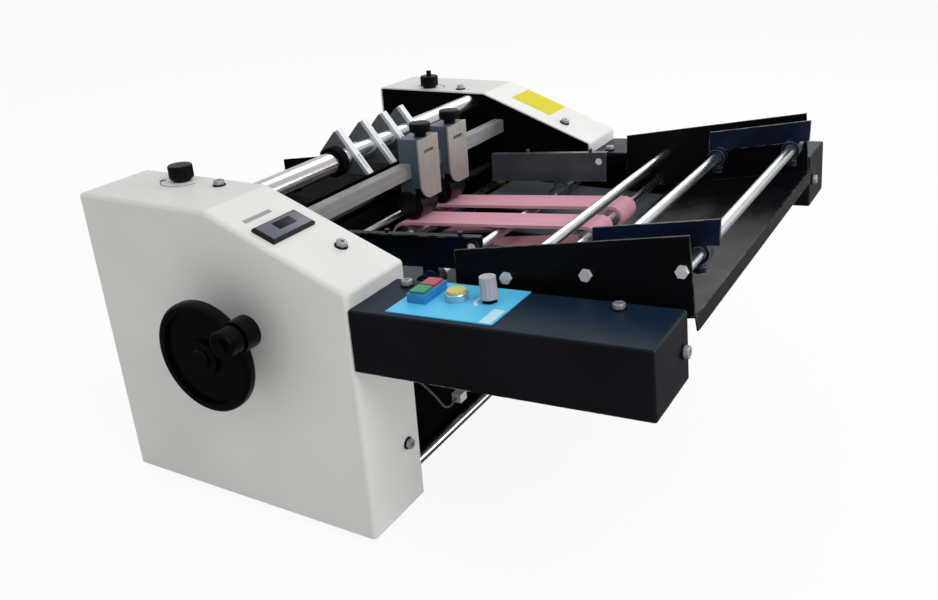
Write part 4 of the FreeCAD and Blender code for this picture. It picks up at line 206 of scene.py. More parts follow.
@dataclass(frozen=True)
class PowderCoat(Finish):
    """Powder-coated steel sheet: a fine orange peel, soft clouds in the tint, rubbed edges, painted
    highlights on the bright edges of some sheets and a painted sheen on faces that look up.
    """

    shade: str = "000000"
    # Colour of rubbed edges; on the blue-black guides the bright edge is a painted highlight.
    edge_wear_and_highlight: str = "808080"
    peel: float = 1.6
    peel_depth: float = 0.05
    edge: float = 0.9
    edge_wear_and_highlight_share: float = 0.6
    gloss: float = 0.4
    # Colour and share of the painted sheen laid on faces that look up.
    dust_and_sheen_tint: str = "1A2C3C"
    dust_and_sheen_share: float = 0.0

    def lay(self, tree: Tree, shader: Node) -> None:
        """Adds clouds, a painted sheen on faces that look up, rubbed edges with painted edge highlights and
        the orange peel.
        """
        clouds = self.between(tree, self.patches(tree, 85.0), (0.35, 0.65), (0.0, 1.0))
        colour = self.tinted(tree, clouds, self.colour, self.shade)
        # Faces that look up get a bluish tint: a painted sheen standing for the blue that the tops reflect.
        flat = add(tree, "NewGeometry").outputs["Normal"]
        up = add(tree, "VectorMath", {0: flat, 1: (0, 0, 1)}, operation="DOT_PRODUCT").outputs["Value"]
        painted_top_sheen = self.between(tree, up, (0.75, 0.98), (0.0, self.dust_and_sheen_share))
        colour = self.tinted(tree, painted_top_sheen, colour, self.dust_and_sheen_tint)
        # The coat is thinnest on folds and cut edges, where hands and paper rub it through to grey; the
        # bright edges of the blue-black guides are painted highlights.
        rounded = add(tree, "Bevel", {"Radius": self.edge / 1000}, samples=6).outputs["Normal"]
        turn = add(tree, "VectorMath", {0: rounded, 1: flat}, operation="DOT_PRODUCT").outputs["Value"]
        edges = self.between(tree, turn, (0.985, 0.86), (0.0, self.edge_wear_and_highlight_share))
        rubs = self.between(tree, self.patches(tree, 9.0, detail=5), (0.42, 0.6), (0.0, 1.0))
        edge_wear_and_highlight = add(tree, "Math", {0: edges, 1: rubs}, operation="MULTIPLY").outputs[0]
        colour = self.tinted(tree, edge_wear_and_highlight, colour, self.edge_wear_and_highlight)
        tree.links.new(colour, shader.inputs["Base Color"])
        spread = (self.roughness - 0.06, self.roughness + 0.06)
        rough = self.between(tree, self.patches(tree, 30.0), (0.3, 0.7), spread)
        tree.links.new(rough, shader.inputs["Roughness"])
        peel = self.dented(tree, self.patches(tree, self.peel), self.peel_depth)
        tree.links.new(peel, shader.inputs["Normal"])
        shader.inputs["Specular IOR Level"].default_value = self.gloss


@dataclass(frozen=True)
class WorkedMetal(Finish):
    """Bare metal with the marks of the tool that made it, and a little tarnish."""

    shade: str = "6A6E73"
    grain: Grain = Grain.ROUND_THE_BAR
    mark: float = 0.5
    mark_depth: float = 0.01
    tarnish: float = 0.25
    metal: float = 1.0

    def lay(self, tree: Tree, shader: Node) -> None:
        """Adds tool marks in colour, roughness and dents, and patches of tarnish."""
        shader.inputs["Metallic"].default_value = self.metal
        marks = self.patches(tree, self.mark, self.grain.value, detail=3)
        stain = self.between(tree, self.patches(tree, 28.0, detail=4), (0.45, 0.75), (0.0, self.tarnish))
        lines = self.between(tree, marks, (0.35, 0.75), (0.0, 0.45))
        amount = add(tree, "Math", {0: stain, 1: lines}, operation="ADD").outputs[0]
        tree.links.new(self.tinted(tree, amount, self.colour, self.shade), shader.inputs["Base Color"])
        rough = self.between(tree, marks, (0.3, 0.7), (self.roughness * 0.8, self.roughness * 1.3))
        tree.links.new(rough, shader.inputs["Roughness"])
        tree.links.new(self.dented(tree, marks, self.mark_depth), shader.inputs["Normal"])


@dataclass(frozen=True)
class TwoPartCoat(PowderCoat):
    """Powder coat on a piece that carries one round part, along the width, of another stuff."""

    axle: Triple = (168.5, 0.0, 203.3)
    radius: float = 16.2
    other: str = "0A0A0B"

    def lay(self, tree: Tree, shader: Node) -> None:
        """Gives everything within the radius of the round part's axis its own colour."""
        super().lay(tree, shader)
        middle = DRAWING @ Vector(self.axle)
        place = add(tree, "TexCoord").outputs["Object"]
        flat = add(tree, "VectorMath", {0: place, 1: (1, 0, 1)}, operation="MULTIPLY").outputs[0]
        ends = {0: flat, 1: (middle.x, 0.0, middle.z)}
        away = add(tree, "VectorMath", ends, operation="DISTANCE").outputs["Value"]
        reach = self.radius / 1000
        inside = self.between(tree, away, (reach + 0.0002, reach), (0.0, 1.0))
        coat = shader.inputs["Base Color"].links[0].from_socket
        tree.links.new(self.tinted(tree, inside, coat, self.other), shader.inputs["Base Color"])


@dataclass(frozen=True)
class FacedMetal(WorkedMetal):
    """Milled block with a bright strip screwed on its sloping front."""

    apex: Triple = (123.6, 0.0, 293.0)
    tip: Triple = (157.3, 0.0, 250.7)
    thickness: float = 2.1
    strip: str = "DCDFE2"

    def lay(self, tree: Tree, shader: Node) -> None:
        """Brightens the layer that lies along the line from the apex to the tip."""
        super().lay(tree, shader)
        run = Vector(self.tip) - Vector(self.apex)
        out = Vector((-run.z, 0.0, run.x)).normalized()
        face = out.dot(DRAWING @ Vector(self.apex))
        place = add(tree, "TexCoord").outputs["Object"]
        depth = add(tree, "VectorMath", {0: place, 1: tuple(out)}, operation="DOT_PRODUCT").outputs["Value"]
        start = face - self.thickness / 1000
        inside = self.between(tree, depth, (start, start + 0.0001), (0.0, 1.0))
        block = shader.inputs["Base Color"].links[0].from_socket
        tree.links.new(self.tinted(tree, inside, block, self.strip), shader.inputs["Base Color"])


@dataclass(frozen=True)
class MouldedPlastic(Finish):
    """Moulded plastic with a fine spark-eroded grain and handling marks."""

    grain: float = 0.8
    grain_depth: float = 0.02
    shade: str = "202225"
    handled: float = 0.3
    gloss: float = 0.4
    clear_coat: float = 0.0

    def lay(self, tree: Tree, shader: Node) -> None:
        """Adds the grain, and rubs that change the tint and the roughness."""
        rubs = self.between(tree, self.patches(tree, 14.0, detail=5), (0.45, 0.7), (0.0, self.handled))
        tree.links.new(self.tinted(tree, rubs, self.colour, self.shade), shader.inputs["Base Color"])
        rough = self.between(tree, rubs, (0.0, 1.0), (self.roughness, min(1.0, self.roughness + 0.35)))
        tree.links.new(rough, shader.inputs["Roughness"])
        grain = self.dented(tree, self.patches(tree, self.grain), self.grain_depth)
        tree.links.new(grain, shader.inputs["Normal"])
        shader.inputs["Specular IOR Level"].default_value = self.gloss
        shader.inputs["Coat Weight"].default_value = self.clear_coat
        shader.inputs["Coat Roughness"].default_value = 0.12


@dataclass(frozen=True)
class RubberSheet(Finish):
    """Rubber with a woven or ground face, dusted with paper."""

    weave: float = 1.1
    weave_depth: float = 0.12
    dust_and_sheen_tint: str = "8E8B88"
    dust_and_sheen_share: float = 0.35

    def lay(self, tree: Tree, shader: Node) -> None:
        """Adds the ground face, and soft streaks of paper dusting along the run."""
        streaks = self.patches(tree, 11.0, (0.12, 1.0, 1.0), detail=5)
        dust_and_sheen_tint = self.between(tree, streaks, (0.45, 0.75), (0.0, self.dust_and_sheen_share))
        tree.links.new(self.tinted(tree, dust_and_sheen_tint, self.colour, self.dust_and_sheen_tint), shader.inputs["Base Color"])
        face = self.patches(tree, self.weave, detail=3)
        tree.links.new(self.dented(tree, face, self.weave_depth), shader.inputs["Normal"])
        shader.inputs["Specular IOR Level"].default_value = 0.25


@dataclass(frozen=True)
class PrintedFilm(Finish):
    """Thin printed film: an even ink under a slightly grained clear face."""

    shade: str = "FFFFFF"
    gloss: float = 0.2

    def lay(self, tree: Tree, shader: Node) -> None:
        """Adds a faint unevenness of the ink and the film's fine grain."""
        ink = self.between(tree, self.patches(tree, 22.0, detail=4), (0.4, 0.8), (0.0, 0.22))
        tree.links.new(self.tinted(tree, ink, self.colour, self.shade), shader.inputs["Base Color"])
        grain = self.dented(tree, self.patches(tree, 0.9), 0.02)
        tree.links.new(grain, shader.inputs["Normal"])
        shader.inputs["Specular IOR Level"].default_value = self.gloss


# Satin powder coat on the folded covers: off-white, faintly warm, with a soft broad sheen.
COVER_WHITE = PowderCoat(
    "satin_white_powder_coat", "E3E3E0", 0.5, shade="DEDEDB", edge_wear_and_highlight="B9BABA", edge_wear_and_highlight_share=0.3, gloss=0.3
)
# Black satin powder coat: deep, rubbed to grey along the folds, with a painted bluish sheen on top.
BOX_BLACK = PowderCoat(
    "satin_black_powder_coat", "0B0C10", 0.42, shade="0F1218", edge_wear_and_highlight="A9ADB1", edge_wear_and_highlight_share=1.0, edge=1.3, gloss=0.1,
    dust_and_sheen_tint="14283A", dust_and_sheen_share=0.8
)
# Matt black coat inside the machine, where hardly any light comes back.
INNER_BLACK = PowderCoat(
    "matt_black_powder_coat", "050507", 0.6, shade="08090B", edge_wear_and_highlight="2C2F32", edge_wear_and_highlight_share=0.3, gloss=0.015
)
# Smooth black sheet of the tray, which mirrors its rods faintly.
TRAY_BLACK = PowderCoat(
    "smooth_black_powder_coat", "07080B", 0.3, shade="0B0D11", edge_wear_and_highlight="6C7074", edge_wear_and_highlight_share=0.9,
    peel_depth=0.02, gloss=0.08,
)
# Charcoal sheet under the belts.
TABLE_GREY = PowderCoat("charcoal_powder_coat", "4C5459", 0.42, shade="5A6268", edge_wear_and_highlight="74797C", gloss=0.2)
# Bright bolt head that both front guides carry.
FRONT_GUIDE_BOLT = {"axle": (322.5, 0.0, 226.2), "radius": 3.6, "other": "E4E7EA"}
# Slate-grey sheet of the far front guide, polished by paper to a soft mirror; it is the near guide's
# blue-black sheet, painted lighter for the sheen it shows.
FAR_GUIDE_PAINTED_SHEEN = TwoPartCoat(
    "far_guide_coat_painted_sheen", "2B3139", 0.24, shade="444B54", edge_wear_and_highlight="9A9FA3", peel_depth=0.012, gloss=0.4,
    **FRONT_GUIDE_BOLT,
)
# Blue-black sheet of the other guides, with painted highlights along their bright edges.
BLUE_COAT = {"shade": "12203A", "edge_wear_and_highlight": "9AA3AA", "edge_wear_and_highlight_share": 1.0, "peel_depth": 0.015, "gloss": 0.15}
FRONT_GUIDE_BLUE = TwoPartCoat(
    "blue_black_powder_coat_with_bolt", "080D15", 0.3, **BLUE_COAT, **FRONT_GUIDE_BOLT
)
GUIDE_BLUE = PowderCoat("blue_black_powder_coat", "080D15", 0.3, **BLUE_COAT)
# Blue-grey enamel of the separator carriages, above their black wheels.
CARRIAGE_BLUE = TwoPartCoat("blue_grey_enamel", "43525F", 0.38, shade="566574", edge_wear_and_highlight="8C959C", gloss=0.4)
# Plain grey enamel of the motor.
MOTOR_GREY = PowderCoat("grey_motor_enamel", "6F757A", 0.5, shade="646A6F", edge_wear_and_highlight="A3A8AB")
# Chromed and drawn bars: bright, with faint lines along them.
DRAWN = {"grain": Grain.ALONG_THE_BAR, "mark_depth": 0.004}
BAR_CHROME = WorkedMetal("hard_chrome_on_ground_steel", "C6C8CA", 0.2, shade="9A9EA2", mark=2.2, **DRAWN)
ROD_CHROME = WorkedMetal("bright_drawn_steel", "DCDFE1", 0.24, shade="A4A8AC", mark=1.4, **DRAWN)
# Ground gears: a dull shine broken by fine marks round them.
GROUND_STEEL = WorkedMetal("ground_steel", "A9ADB1", 0.32, shade="5E6266", mark=0.8, mark_depth=0.02)
# Dull square bar, and warm grey gate plates brushed from top to bottom.
SQUARE_BAR = WorkedMetal(
    "cold_drawn_steel_bar", "A6A6A8", 0.52, shade="6C7074", grain=Grain.ALONG_THE_BAR, mark=1.6, metal=0.6
)
GATE_STEEL = WorkedMetal(
    "brushed_steel_plate", "BDB7B1", 0.46, shade="847F7A", grain=Grain.UP_THE_PLATE, mark=1.0, metal=0.45
)
# Plated bolts and passivated screws: a broken sheen of small crystals.
CRYSTALS = {"grain": Grain.ANY_WAY, "mark": 2.2}
ZINC = WorkedMetal("zinc_plated_steel", "EFF2F5", 0.34, shade="B4BAC0", metal=0.35, **CRYSTALS)
SCREW_STEEL = WorkedMetal("passivated_screw_steel", "A6A9A9", 0.4, shade="6C6F6E", metal=0.5, **CRYSTALS)
# Crease rollers coloured near black, hardly visible below the guard: painted shade, as dark as the shade they
# lie in.
CREASE_STEEL_PAINTED_SHADE = WorkedMetal("crease_steel_painted_shade", "1E1F21", 0.4, shade="0E0F10", mark=0.8, mark_depth=0.02)
# Dark wire, and milled blocks and pulleys with visible cutter marks.
SPRING_STEEL = WorkedMetal("oil_tempered_wire", "8C9094", 0.3, grain=Grain.ANY_WAY, mark=1.2)
MILLED_ALUMINIUM = WorkedMetal(
    "milled_aluminium", "8B8F94", 0.42, shade="4C5056", grain=Grain.UP_THE_PLATE, mark=1.3
)
# Dark cast wedges with a bright strip screwed on each.
ARM_METAL = FacedMetal(
    "cast_aluminium_with_strip", "6E767D", 0.46, shade="474D53", grain=Grain.UP_THE_PLATE, mark=1.6, metal=0.6
)
# Brown-gold bushes with a fine sandy face.
BRONZE = WorkedMetal("sintered_bronze", "A8803F", 0.38, shade="6B4F24", grain=Grain.ANY_WAY, mark=0.6)
# Thermoset knobs with hardly any shine, and the polished handwheel with soft highlights.
KNOB_BLACK = MouldedPlastic("black_thermoset", "060607", 0.4, shade="0E0E0F", gloss=0.1)
WHEEL_BLACK = MouldedPlastic(
    "polished_phenolic", "030304", 0.28, grain=3.5, grain_depth=0.03, shade="08080A", gloss=0.07
)
# Finely grained mouldings: counter case and bezel, speed knob and plug.
CASE_BLACK = MouldedPlastic("black_abs", "101216", 0.45, shade="1C1E22", gloss=0.2)
BEZEL_GREY = MouldedPlastic("grey_abs", "5A5D68", 0.4, shade="6A6D78")
KNOB_GREY = MouldedPlastic("lilac_grey_abs", "B5B0B6", 0.5, shade="96919A", handled=0.5)
PLUG_WHITE = MouldedPlastic("white_nylon", "DADCDB", 0.45, shade="BDBEBD")
# Smooth dark window of the counter.
WINDOW_DARK = MouldedPlastic(
    "tinted_acrylic", "080D20", 0.4, grain=6.0, grain_depth=0.01, shade="0E142A", handled=0.1, gloss=0.1
)
# Smooth, glossy buttons and their housing.
GLOSSY = {"grain_depth": 0.01, "gloss": 0.3}
HOUSING_BLUE = MouldedPlastic("blue_abs", "2F84BE", 0.36, shade="2A74A8", **GLOSSY)
BUTTON_GREEN = MouldedPlastic("green_polycarbonate", "2A9468", 0.34, shade="227852", **GLOSSY)
BUTTON_RED = MouldedPlastic("red_polycarbonate", "B84A5C", 0.34, shade="983C4C", **GLOSSY)
BUTTON_YELLOW = MouldedPlastic("yellow_polycarbonate", "D2C86A", 0.34, shade="BFB455", **GLOSSY)
# Satin chrome ring, tinted with the panel's blue as a painted reflection of the panel.
RING_SILVER = WorkedMetal(
    "satin_chrome_ring", "BCD3DE", 0.26, shade="7F97A6", grain=Grain.ANY_WAY, mark=1.5, metal=0.8
)
# Natural rubber belts, pink when new, and black rubber for feet and timing belts.
BELT_PINK = RubberSheet("pink_rubber_belt", "DA9CAC", 0.75, dust_and_sheen_tint="E6BCC6", dust_and_sheen_share=0.4)
RUBBER_BLACK = RubberSheet("black_rubber", "121214", 0.7, dust_and_sheen_tint="3A3A3C")
# Printed films and labels, all without any lettering.
PANEL_BLUE = PrintedFilm("light_blue_overlay_film", "5CC8F4", 0.42, shade="6ACFF6")
PRINT_WHITE = PrintedFilm("white_ink", "BFE6F2", 0.5, shade="DFF4FA")
LABEL_YELLOW = PrintedFilm("yellow_label_film", "D8CE08", 0.5, shade="CCC41C", gloss=0.08)
LABEL_GREY = PrintedFilm("grey_label_film", "9B9B98", 0.5, shade="878784")
MARK_GREY = PrintedFilm("grey_ink", "6F706D", 0.5, shade="5E605E")


def shown(name: str, data: bpy.types.ID) -> bpy.types.Object:
    """Makes an object of a mesh, curve, lamp or camera and puts it in the scene."""
    made = bpy.data.objects.new(name, data)
    bpy.context.scene.collection.objects.link(made)
    return made


def block(low: Triple, high: Triple) -> Shape:
    """Starts a shape as an upright block.

    Args:
        low: Lowest corner.
        high: Highest corner.

    Returns:
        The block.
    """
    shape = bmesh.new()
    size = Vector(high) - Vector(low)
    place = Matrix.Translation((Vector(high) + Vector(low)) / 2) @ Matrix.Diagonal((*size, 1.0))
    bmesh.ops.create_cube(shape, size=1.0, matrix=place)
    return shape


def turned(profile: list[Pair], steps: int = 48, ring: bool = False) -> Shape:
    """Spins a side outline round the z axis.

    Args:
        profile: Radius and height of each corner.
        steps: Number of faces round the shape.
        ring: Whether the outline closes on itself.

    Returns:
        The turned shape.
    """
    shape = bmesh.new()
    corners = [shape.verts.new((radius, 0.0, height)) for radius, height in profile]
    pairs = list(zip(corners, corners[1:])) + ([(corners[-1], corners[0])] if ring else [])
    outline = [shape.edges.new(pair) for pair in pairs]
    bmesh.ops.spin(
        shape, geom=corners + outline, cent=(0, 0, 0), axis=(0, 0, 1), angle=math.tau,
        steps=steps, use_merge=True,
    )
    bmesh.ops.remove_doubles(shape, verts=shape.verts, dist=0.0001)
    bmesh.ops.recalc_face_normals(shape, faces=shape.faces)
    return shape


def hexagon(across: float, height: float) -> Shape:
    """Starts a shape as a six-sided prism standing on the origin."""
    shape = bmesh.new()
    middle = Matrix.Translation((0, 0, height / 2)) @ Matrix.Rotation(math.radians(30), 4, "Z")
    radius = across / math.sqrt(3)
    bmesh.ops.create_cone(
        shape, cap_ends=True, segments=6, radius1=radius, radius2=radius, depth=height, matrix=middle
    )
    return shape


def soften(shape: Shape, width: float, segments: int = 2, sharper_than: float = 35.0) -> Shape:
    """Rounds every edge that turns more sharply than an angle.

    Args:
        shape: The shape, which is changed.
        width: Width of the rounding.
        segments: Number of faces across it.
        sharper_than: The angle, in degrees.

    Returns:
        The same shape.
    """
    limit = math.radians(sharper_than)
    edges = [e for e in shape.edges if e.is_manifold and e.calc_face_angle(0.0) > limit]
    bmesh.ops.bevel(
        shape, geom=edges, offset=width, affect="EDGES", segments=segments, profile=0.5, material=-1,
        clamp_overlap=True,
    )
    return shape


def arc_band(inner: float, outer: float, start: float, sweep: float, film: float) -> Shape:
    """Draws a thin curved band round the z axis.

    Args:
        inner: Inner radius.
        outer: Outer radius.
        start: Where it starts, in degrees.
        sweep: How far it runs, in degrees.
        film: Its thickness.

    Returns:
        The closed band.
    """
    shape = bmesh.new()
    ends = [shape.verts.new((radius, 0.0, 0.0)) for radius in (inner, outer)]
    edge = shape.edges.new(ends)
    turn = math.radians(sweep)
    bmesh.ops.spin(shape, geom=ends + [edge], cent=(0, 0, 0), axis=(0, 0, 1), angle=turn, steps=40)
    bmesh.ops.solidify(shape, geom=list(shape.faces), thickness=-film)
    bmesh.ops.recalc_face_normals(shape, faces=shape.faces)
    return carried(shape, Matrix.Rotation(math.radians(start), 4, "Z"))


def placed(shape: Shape, point: Triple, direction: Triple = (0, 0, 1), spin: float = 0.0) -> Shape:
    """Turns a shape from the z axis to a direction and sets it on a point.

    Args:
        shape: The shape, which is changed.
        point: Where its origin goes.
        direction: Where its z axis goes.
        spin: A turn about its own axis first, in degrees.

    Returns:
        The same shape.
    """
    lean = Vector((0, 0, 1)).rotation_difference(Vector(direction)).to_matrix().to_4x4()
    place = Matrix.Translation(point) @ lean @ Matrix.Rotation(math.radians(spin), 4, "Z")
    return carried(shape, place)


def carried(shape: Shape, place: Matrix) -> Shape:
    """Moves a shape by a matrix, and keeps its faces outwards if the matrix mirrors it."""
    bmesh.ops.transform(shape, matrix=place, verts=shape.verts)
    if place.determinant() < 0:
        bmesh.ops.reverse_faces(shape, faces=shape.faces)
    return shape


def together(shapes: list[Shape]) -> Shape:
    """Gathers shapes into one and frees them."""
    whole = bmesh.new()
    for shape in shapes:
        carrier = bpy.data.meshes.new("carrier")
        shape.to_mesh(carrier)
        shape.free()
        whole.from_mesh(carrier)
        bpy.data.meshes.remove(carrier)
    return whole


def piece(
    name: str,
    shape: Shape,
    finish: Finish,
    body: str = "frame",
    stands_for: tuple[str, ...] = (),
    crease: float = 32.0,
) -> bpy.types.Object:
    """Makes a shape an object in the frame of the solids, dressed and riding on its body.

    Args:
        name: The piece's name.
        shape: The shape in millimetres, which is used up.
        finish: What it is made of.
        body: The body that it moves with.
        stands_for: The solids that it replaces.
        crease: The angle, in degrees, above which an edge stays sharp.

    Returns:
        The new object.
    """
    carried(shape, DRAWING)
    mesh = bpy.data.meshes.new(name)
    shape.to_mesh(mesh)
    shape.free()
    mesh.shade_smooth()
    mesh.set_sharp_from_angle(angle=math.radians(crease))
    mesh.materials.append(finish.material())
    made = shown(name, mesh)
    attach(made, body)
    if stands_for:
        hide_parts(*stands_for)
    return made


def dress(finish: Finish, *names: str) -> None:
    """Gives solids of the frame a finish.

    Args:
        finish: What they are made of.
        *names: The solids.
    """
    for name in names:
        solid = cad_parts[name]
        for held in solid.material_slots:
            held.material = finish.material()


@dataclass
class Layout:
    """Main sizes of the machine that several sub-assemblies share, in millimetres."""

    cover_length: float = 287.0
    cover_height: float = 280.0
    cover_front: float = 229.0
    cover_top: float = 150.0
    width: float = 545.0
    box_low: float = 163.7
    box_tilt: float = 3.4
    box_height: float = 52.7
    box_length: float = 246.0
    panel_sheet: float = 0.8

    def far(self) -> Matrix:
        """Mirror from the near side of the machine to the far side."""
        return Matrix.Translation((0, self.width, 0)) @ Matrix.Scale(-1, 4, (0, 1, 0))

    def slope(self) -> Matrix:
        """Frame on a cover's slope: x runs down the slope, y across, z out of the sheet."""
        angle = math.atan2(self.cover_height - self.cover_front, self.cover_length - self.cover_top)
        return Matrix.Translation((self.cover_top, 0, self.cover_height)) @ Matrix.Rotation(angle, 4, "Y")

    def box(self) -> Matrix:
        """Frame of a control box: x runs along it, y across, z up from its underside."""
        turn = Matrix.Rotation(-math.radians(self.box_tilt), 4, "Y")
        return Matrix.Translation((self.cover_length, 0, self.box_low)) @ turn

    def both(self, shape: Shape) -> Shape:
        """Adds the same shape on the far side of the machine."""
        twin = shape.copy()
        return together([shape, carried(twin, self.far())])


@dataclass
class LoomLead:
    """Short lead that hangs in a loose loop between the white plug and the near side plate."""

    radius: float = 1.1
    length: float = 131.0
    exit: Triple = (268.5, 172.7, 43.5)
    bends: tuple[Triple, ...] = (
        (0.0, 0.0, 0.0),
        (0.0, -8.0, -2.0),
        (0.5, -17.0, -1.0),
        (1.0, -26.0, 6.0),
        (1.0, -34.0, 18.0),
        (0.5, -50.0, 38.0),
        (1.0, -72.0, 62.0),
        (2.0, -95.2, 80.0),
    )

    def build(self) -> None:
        line = bpy.data.curves.new("loom_lead_line", "CURVE")
        line.dimensions = "3D"
        line.bevel_depth = self.radius / 1000
        line.bevel_resolution = 5
        line.use_fill_caps = True
        spline = line.splines.new("NURBS")
        spline.points.add(len(self.bends) - 1)
        for point, bend in zip(spline.points, self.bends):
            point.co = (*(DRAWING @ (Vector(self.exit) + Vector(bend))), 1.0)
        spline.order_u = 3
        spline.use_endpoint_u = True
        spline.resolution_u = 12
        line.materials.append(RUBBER_BLACK.material())
        lead = shown("loom_lead_line", line)
        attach(lead, "frame")
        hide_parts("loom_lead")


@dataclass
class Cabinets:
    """Both folded covers with their screws, plates, labels and feet."""

    layout: Layout
    washer_radius: float = 5.8
    washer_height: float = 1.2
    head_across: float = 8.5
    head_height: float = 3.5
    socket_radius: float = 1.7
    socket_depth: float = 1.9
    chamfer: float = 0.6
    top_screw: Pair = (110.0, 62.0)
    slope_screw: Pair = (245.0, 53.0)
    end_screw: Pair = (60.0, 63.0)
    delivery_screw: Pair = (60.0, 110.0)
    box_screws: Pair = (20.5, 200.5)
    box_screw_y: float = 57.0
    box_end_screw_z: float = 26.0
    label_start: float = 26.0
    label_length: float = 54.0
    label_y: float = 494.0
    label_width: float = 46.0
    strip_low: Pair = (28.6, 15.5)
    strip_high: Pair = (33.0, 47.5)
    film: float = 0.25

    def build(self) -> None:
        """Builds the screws and labels and dresses the sheet metal."""
        self.dress()
        self.screws()
        self.label()

    def dress(self) -> None:
        """Gives the covers, side plates and feet their finishes."""
        dress(COVER_WHITE, "near_side_cover", "far_side_cover")
        dress(INNER_BLACK, "near_side_plate", "far_side_plate")
        dress(RUBBER_BLACK, "feet")

    def places(self) -> list[tuple[Vector, Vector]]:
        """Place and outward direction of every screw on the near side."""
        size = self.layout
        slope = size.slope()
        box = size.box()
        slope_out, box_up, box_out = slope.to_3x3().col[2], box.to_3x3().col[2], box.to_3x3().col[0]
        down = (self.slope_screw[0] - size.cover_top) / slope.to_3x3().col[0].x
        found = [
            (Vector((*self.top_screw, size.cover_height)), Vector((0, 0, 1))),
            (slope @ Vector((down, self.slope_screw[1], 0)), slope_out),
            (Vector((size.cover_length, *self.end_screw)), Vector((1, 0, 0))),
            (Vector((0.0, *self.delivery_screw)), Vector((-1, 0, 0))),
        ]
        for along in self.box_screws:
            found.append((box @ Vector((along, self.box_screw_y, size.box_height)), box_up))
        end = Vector((size.box_length, self.box_screw_y, self.box_end_screw_z))
        found.append((box @ end, box_out))
        return found

    def head(self) -> Shape:
        """Hexagon head with a chamfered crown and a six-sided socket."""
        shape = hexagon(self.head_across, self.head_height)
        crown = [f for f in shape.faces if f.normal.z > 0.9]
        bmesh.ops.inset_region(shape, faces=crown, thickness=self.chamfer, use_even_offset=True)
        rim = list({v for f in crown for v in f.verts})
        bmesh.ops.translate(shape, verts=rim, vec=(0, 0, self.chamfer / 2))
        left = self.head_across / 2 - self.chamfer - self.socket_radius
        bmesh.ops.inset_region(shape, faces=crown, thickness=left, use_even_offset=True)
        deep = -self.socket_depth
        bmesh.ops.inset_region(shape, faces=crown, thickness=0.05, depth=deep, use_even_offset=True)
        return soften(shape, 0.15, 1, 50.0)

    def washer(self) -> Shape:
        """Round washer with broken edges, pressed flat on the sheet."""
        radius, height = self.washer_radius, self.washer_height
        inner = self.head_across / 2 - 1.0
        profile = [(inner, 0.0), (radius, 0.0), (radius, height - 0.4), (radius - 0.4, height)]
        return turned(profile + [(inner, height)], 40, ring=True)

    def screws(self) -> None:
        """Sets every cover and box screw with its washer."""
        heads = []
        washers = []
        for number, (point, direction) in enumerate(self.places()):
            seat = point + direction * self.washer_height
            heads.append(placed(self.head(), seat, direction, 17.0 * number))
            washers.append(placed(self.washer(), point, direction))
        whole = self.layout.both(together(heads))
        piece("cover_screw_heads", whole, SCREW_STEEL, stands_for=("cover_screws",))
        piece("cover_screw_washers", self.layout.both(together(washers)), KNOB_BLACK)

    def label(self) -> None:
        """Lays a plain yellow film on the far cover's slope and a plain grey strip above the counter."""
        end = (self.label_start + self.label_length, self.label_y + self.label_width, self.film)
        patch = soften(block((self.label_start, self.label_y, 0.0), end), 0.08, 1)
        piece("far_slope_label", carried(patch, self.layout.slope()), LABEL_YELLOW)
        strip = soften(block((*self.strip_low, 0.0), (*self.strip_high, self.film)), 0.08, 1)
        piece("counter_strip", carried(strip, self.layout.slope()), LABEL_GREY)


@dataclass
class CrossBars:
    """Round bars and the square bar between the cabinets, with their bolts."""

    def build(self) -> None:
        """Dresses the bars and bolts."""
        dress(BAR_CHROME, "upper_tie_shaft")
        dress(ROD_CHROME, "tie_rods", "tray_rods")
        dress(SQUARE_BAR, "gate_bar")
        dress(ZINC, "rod_bolts")


@dataclass
class CreaseStation:
    """Crease shafts with their gears, bushes and pressure knobs, and the sheets beside them."""

    layout: Layout
    knob_x: float = 65.0
    knob_y: float = 62.0
    stop_radius: float = 3.0
    mark_radius: float = 18.6
    mark_width: float = 0.9
    mark_start: float = 200.0
    mark_sweep: float = 150.0
    film: float = 0.2

    def build(self) -> None:
        """Dresses the shafts and knobs and prints the arc beside each knob."""
        dress(CREASE_STEEL_PAINTED_SHADE, "lower_crease_shaft", "upper_crease_shaft")
        dress(GROUND_STEEL, "lower_crease_gear", "upper_crease_gear")
        dress(BRONZE, "bearings")
        dress(MILLED_ALUMINIUM, "pressure_blocks")
        dress(SPRING_STEEL, "pressure_springs")
        dress(KNOB_BLACK, "near_pressure_knob", "far_pressure_knob")
        dress(INNER_BLACK, "paper_bridge", "sensor_bracket")
        self.marks()

    def arc(self) -> Shape:
        """Thin printed arc beside a knob, with a round stop at its start."""
        inner, outer = self.mark_radius, self.mark_radius + self.mark_width
        band = arc_band(inner, outer, self.mark_start, self.mark_sweep, self.film)
        turn = Matrix.Rotation(math.radians(self.mark_start), 4, "Z")
        dot, film = self.stop_radius, self.film
        stop = turned([(0.0, 0.0), (dot, 0.0), (dot, film), (0.0, film)], 24)
        carried(stop, turn @ Matrix.Translation(((inner + outer) / 2, 0, 0)))
        place = Matrix.Translation((self.knob_x, self.knob_y, self.layout.cover_height))
        return carried(together([band, stop]), place)

    def marks(self) -> None:
        """Prints the arcs beside both knobs."""
        piece("pressure_marks", self.layout.both(self.arc()), MARK_GREY)


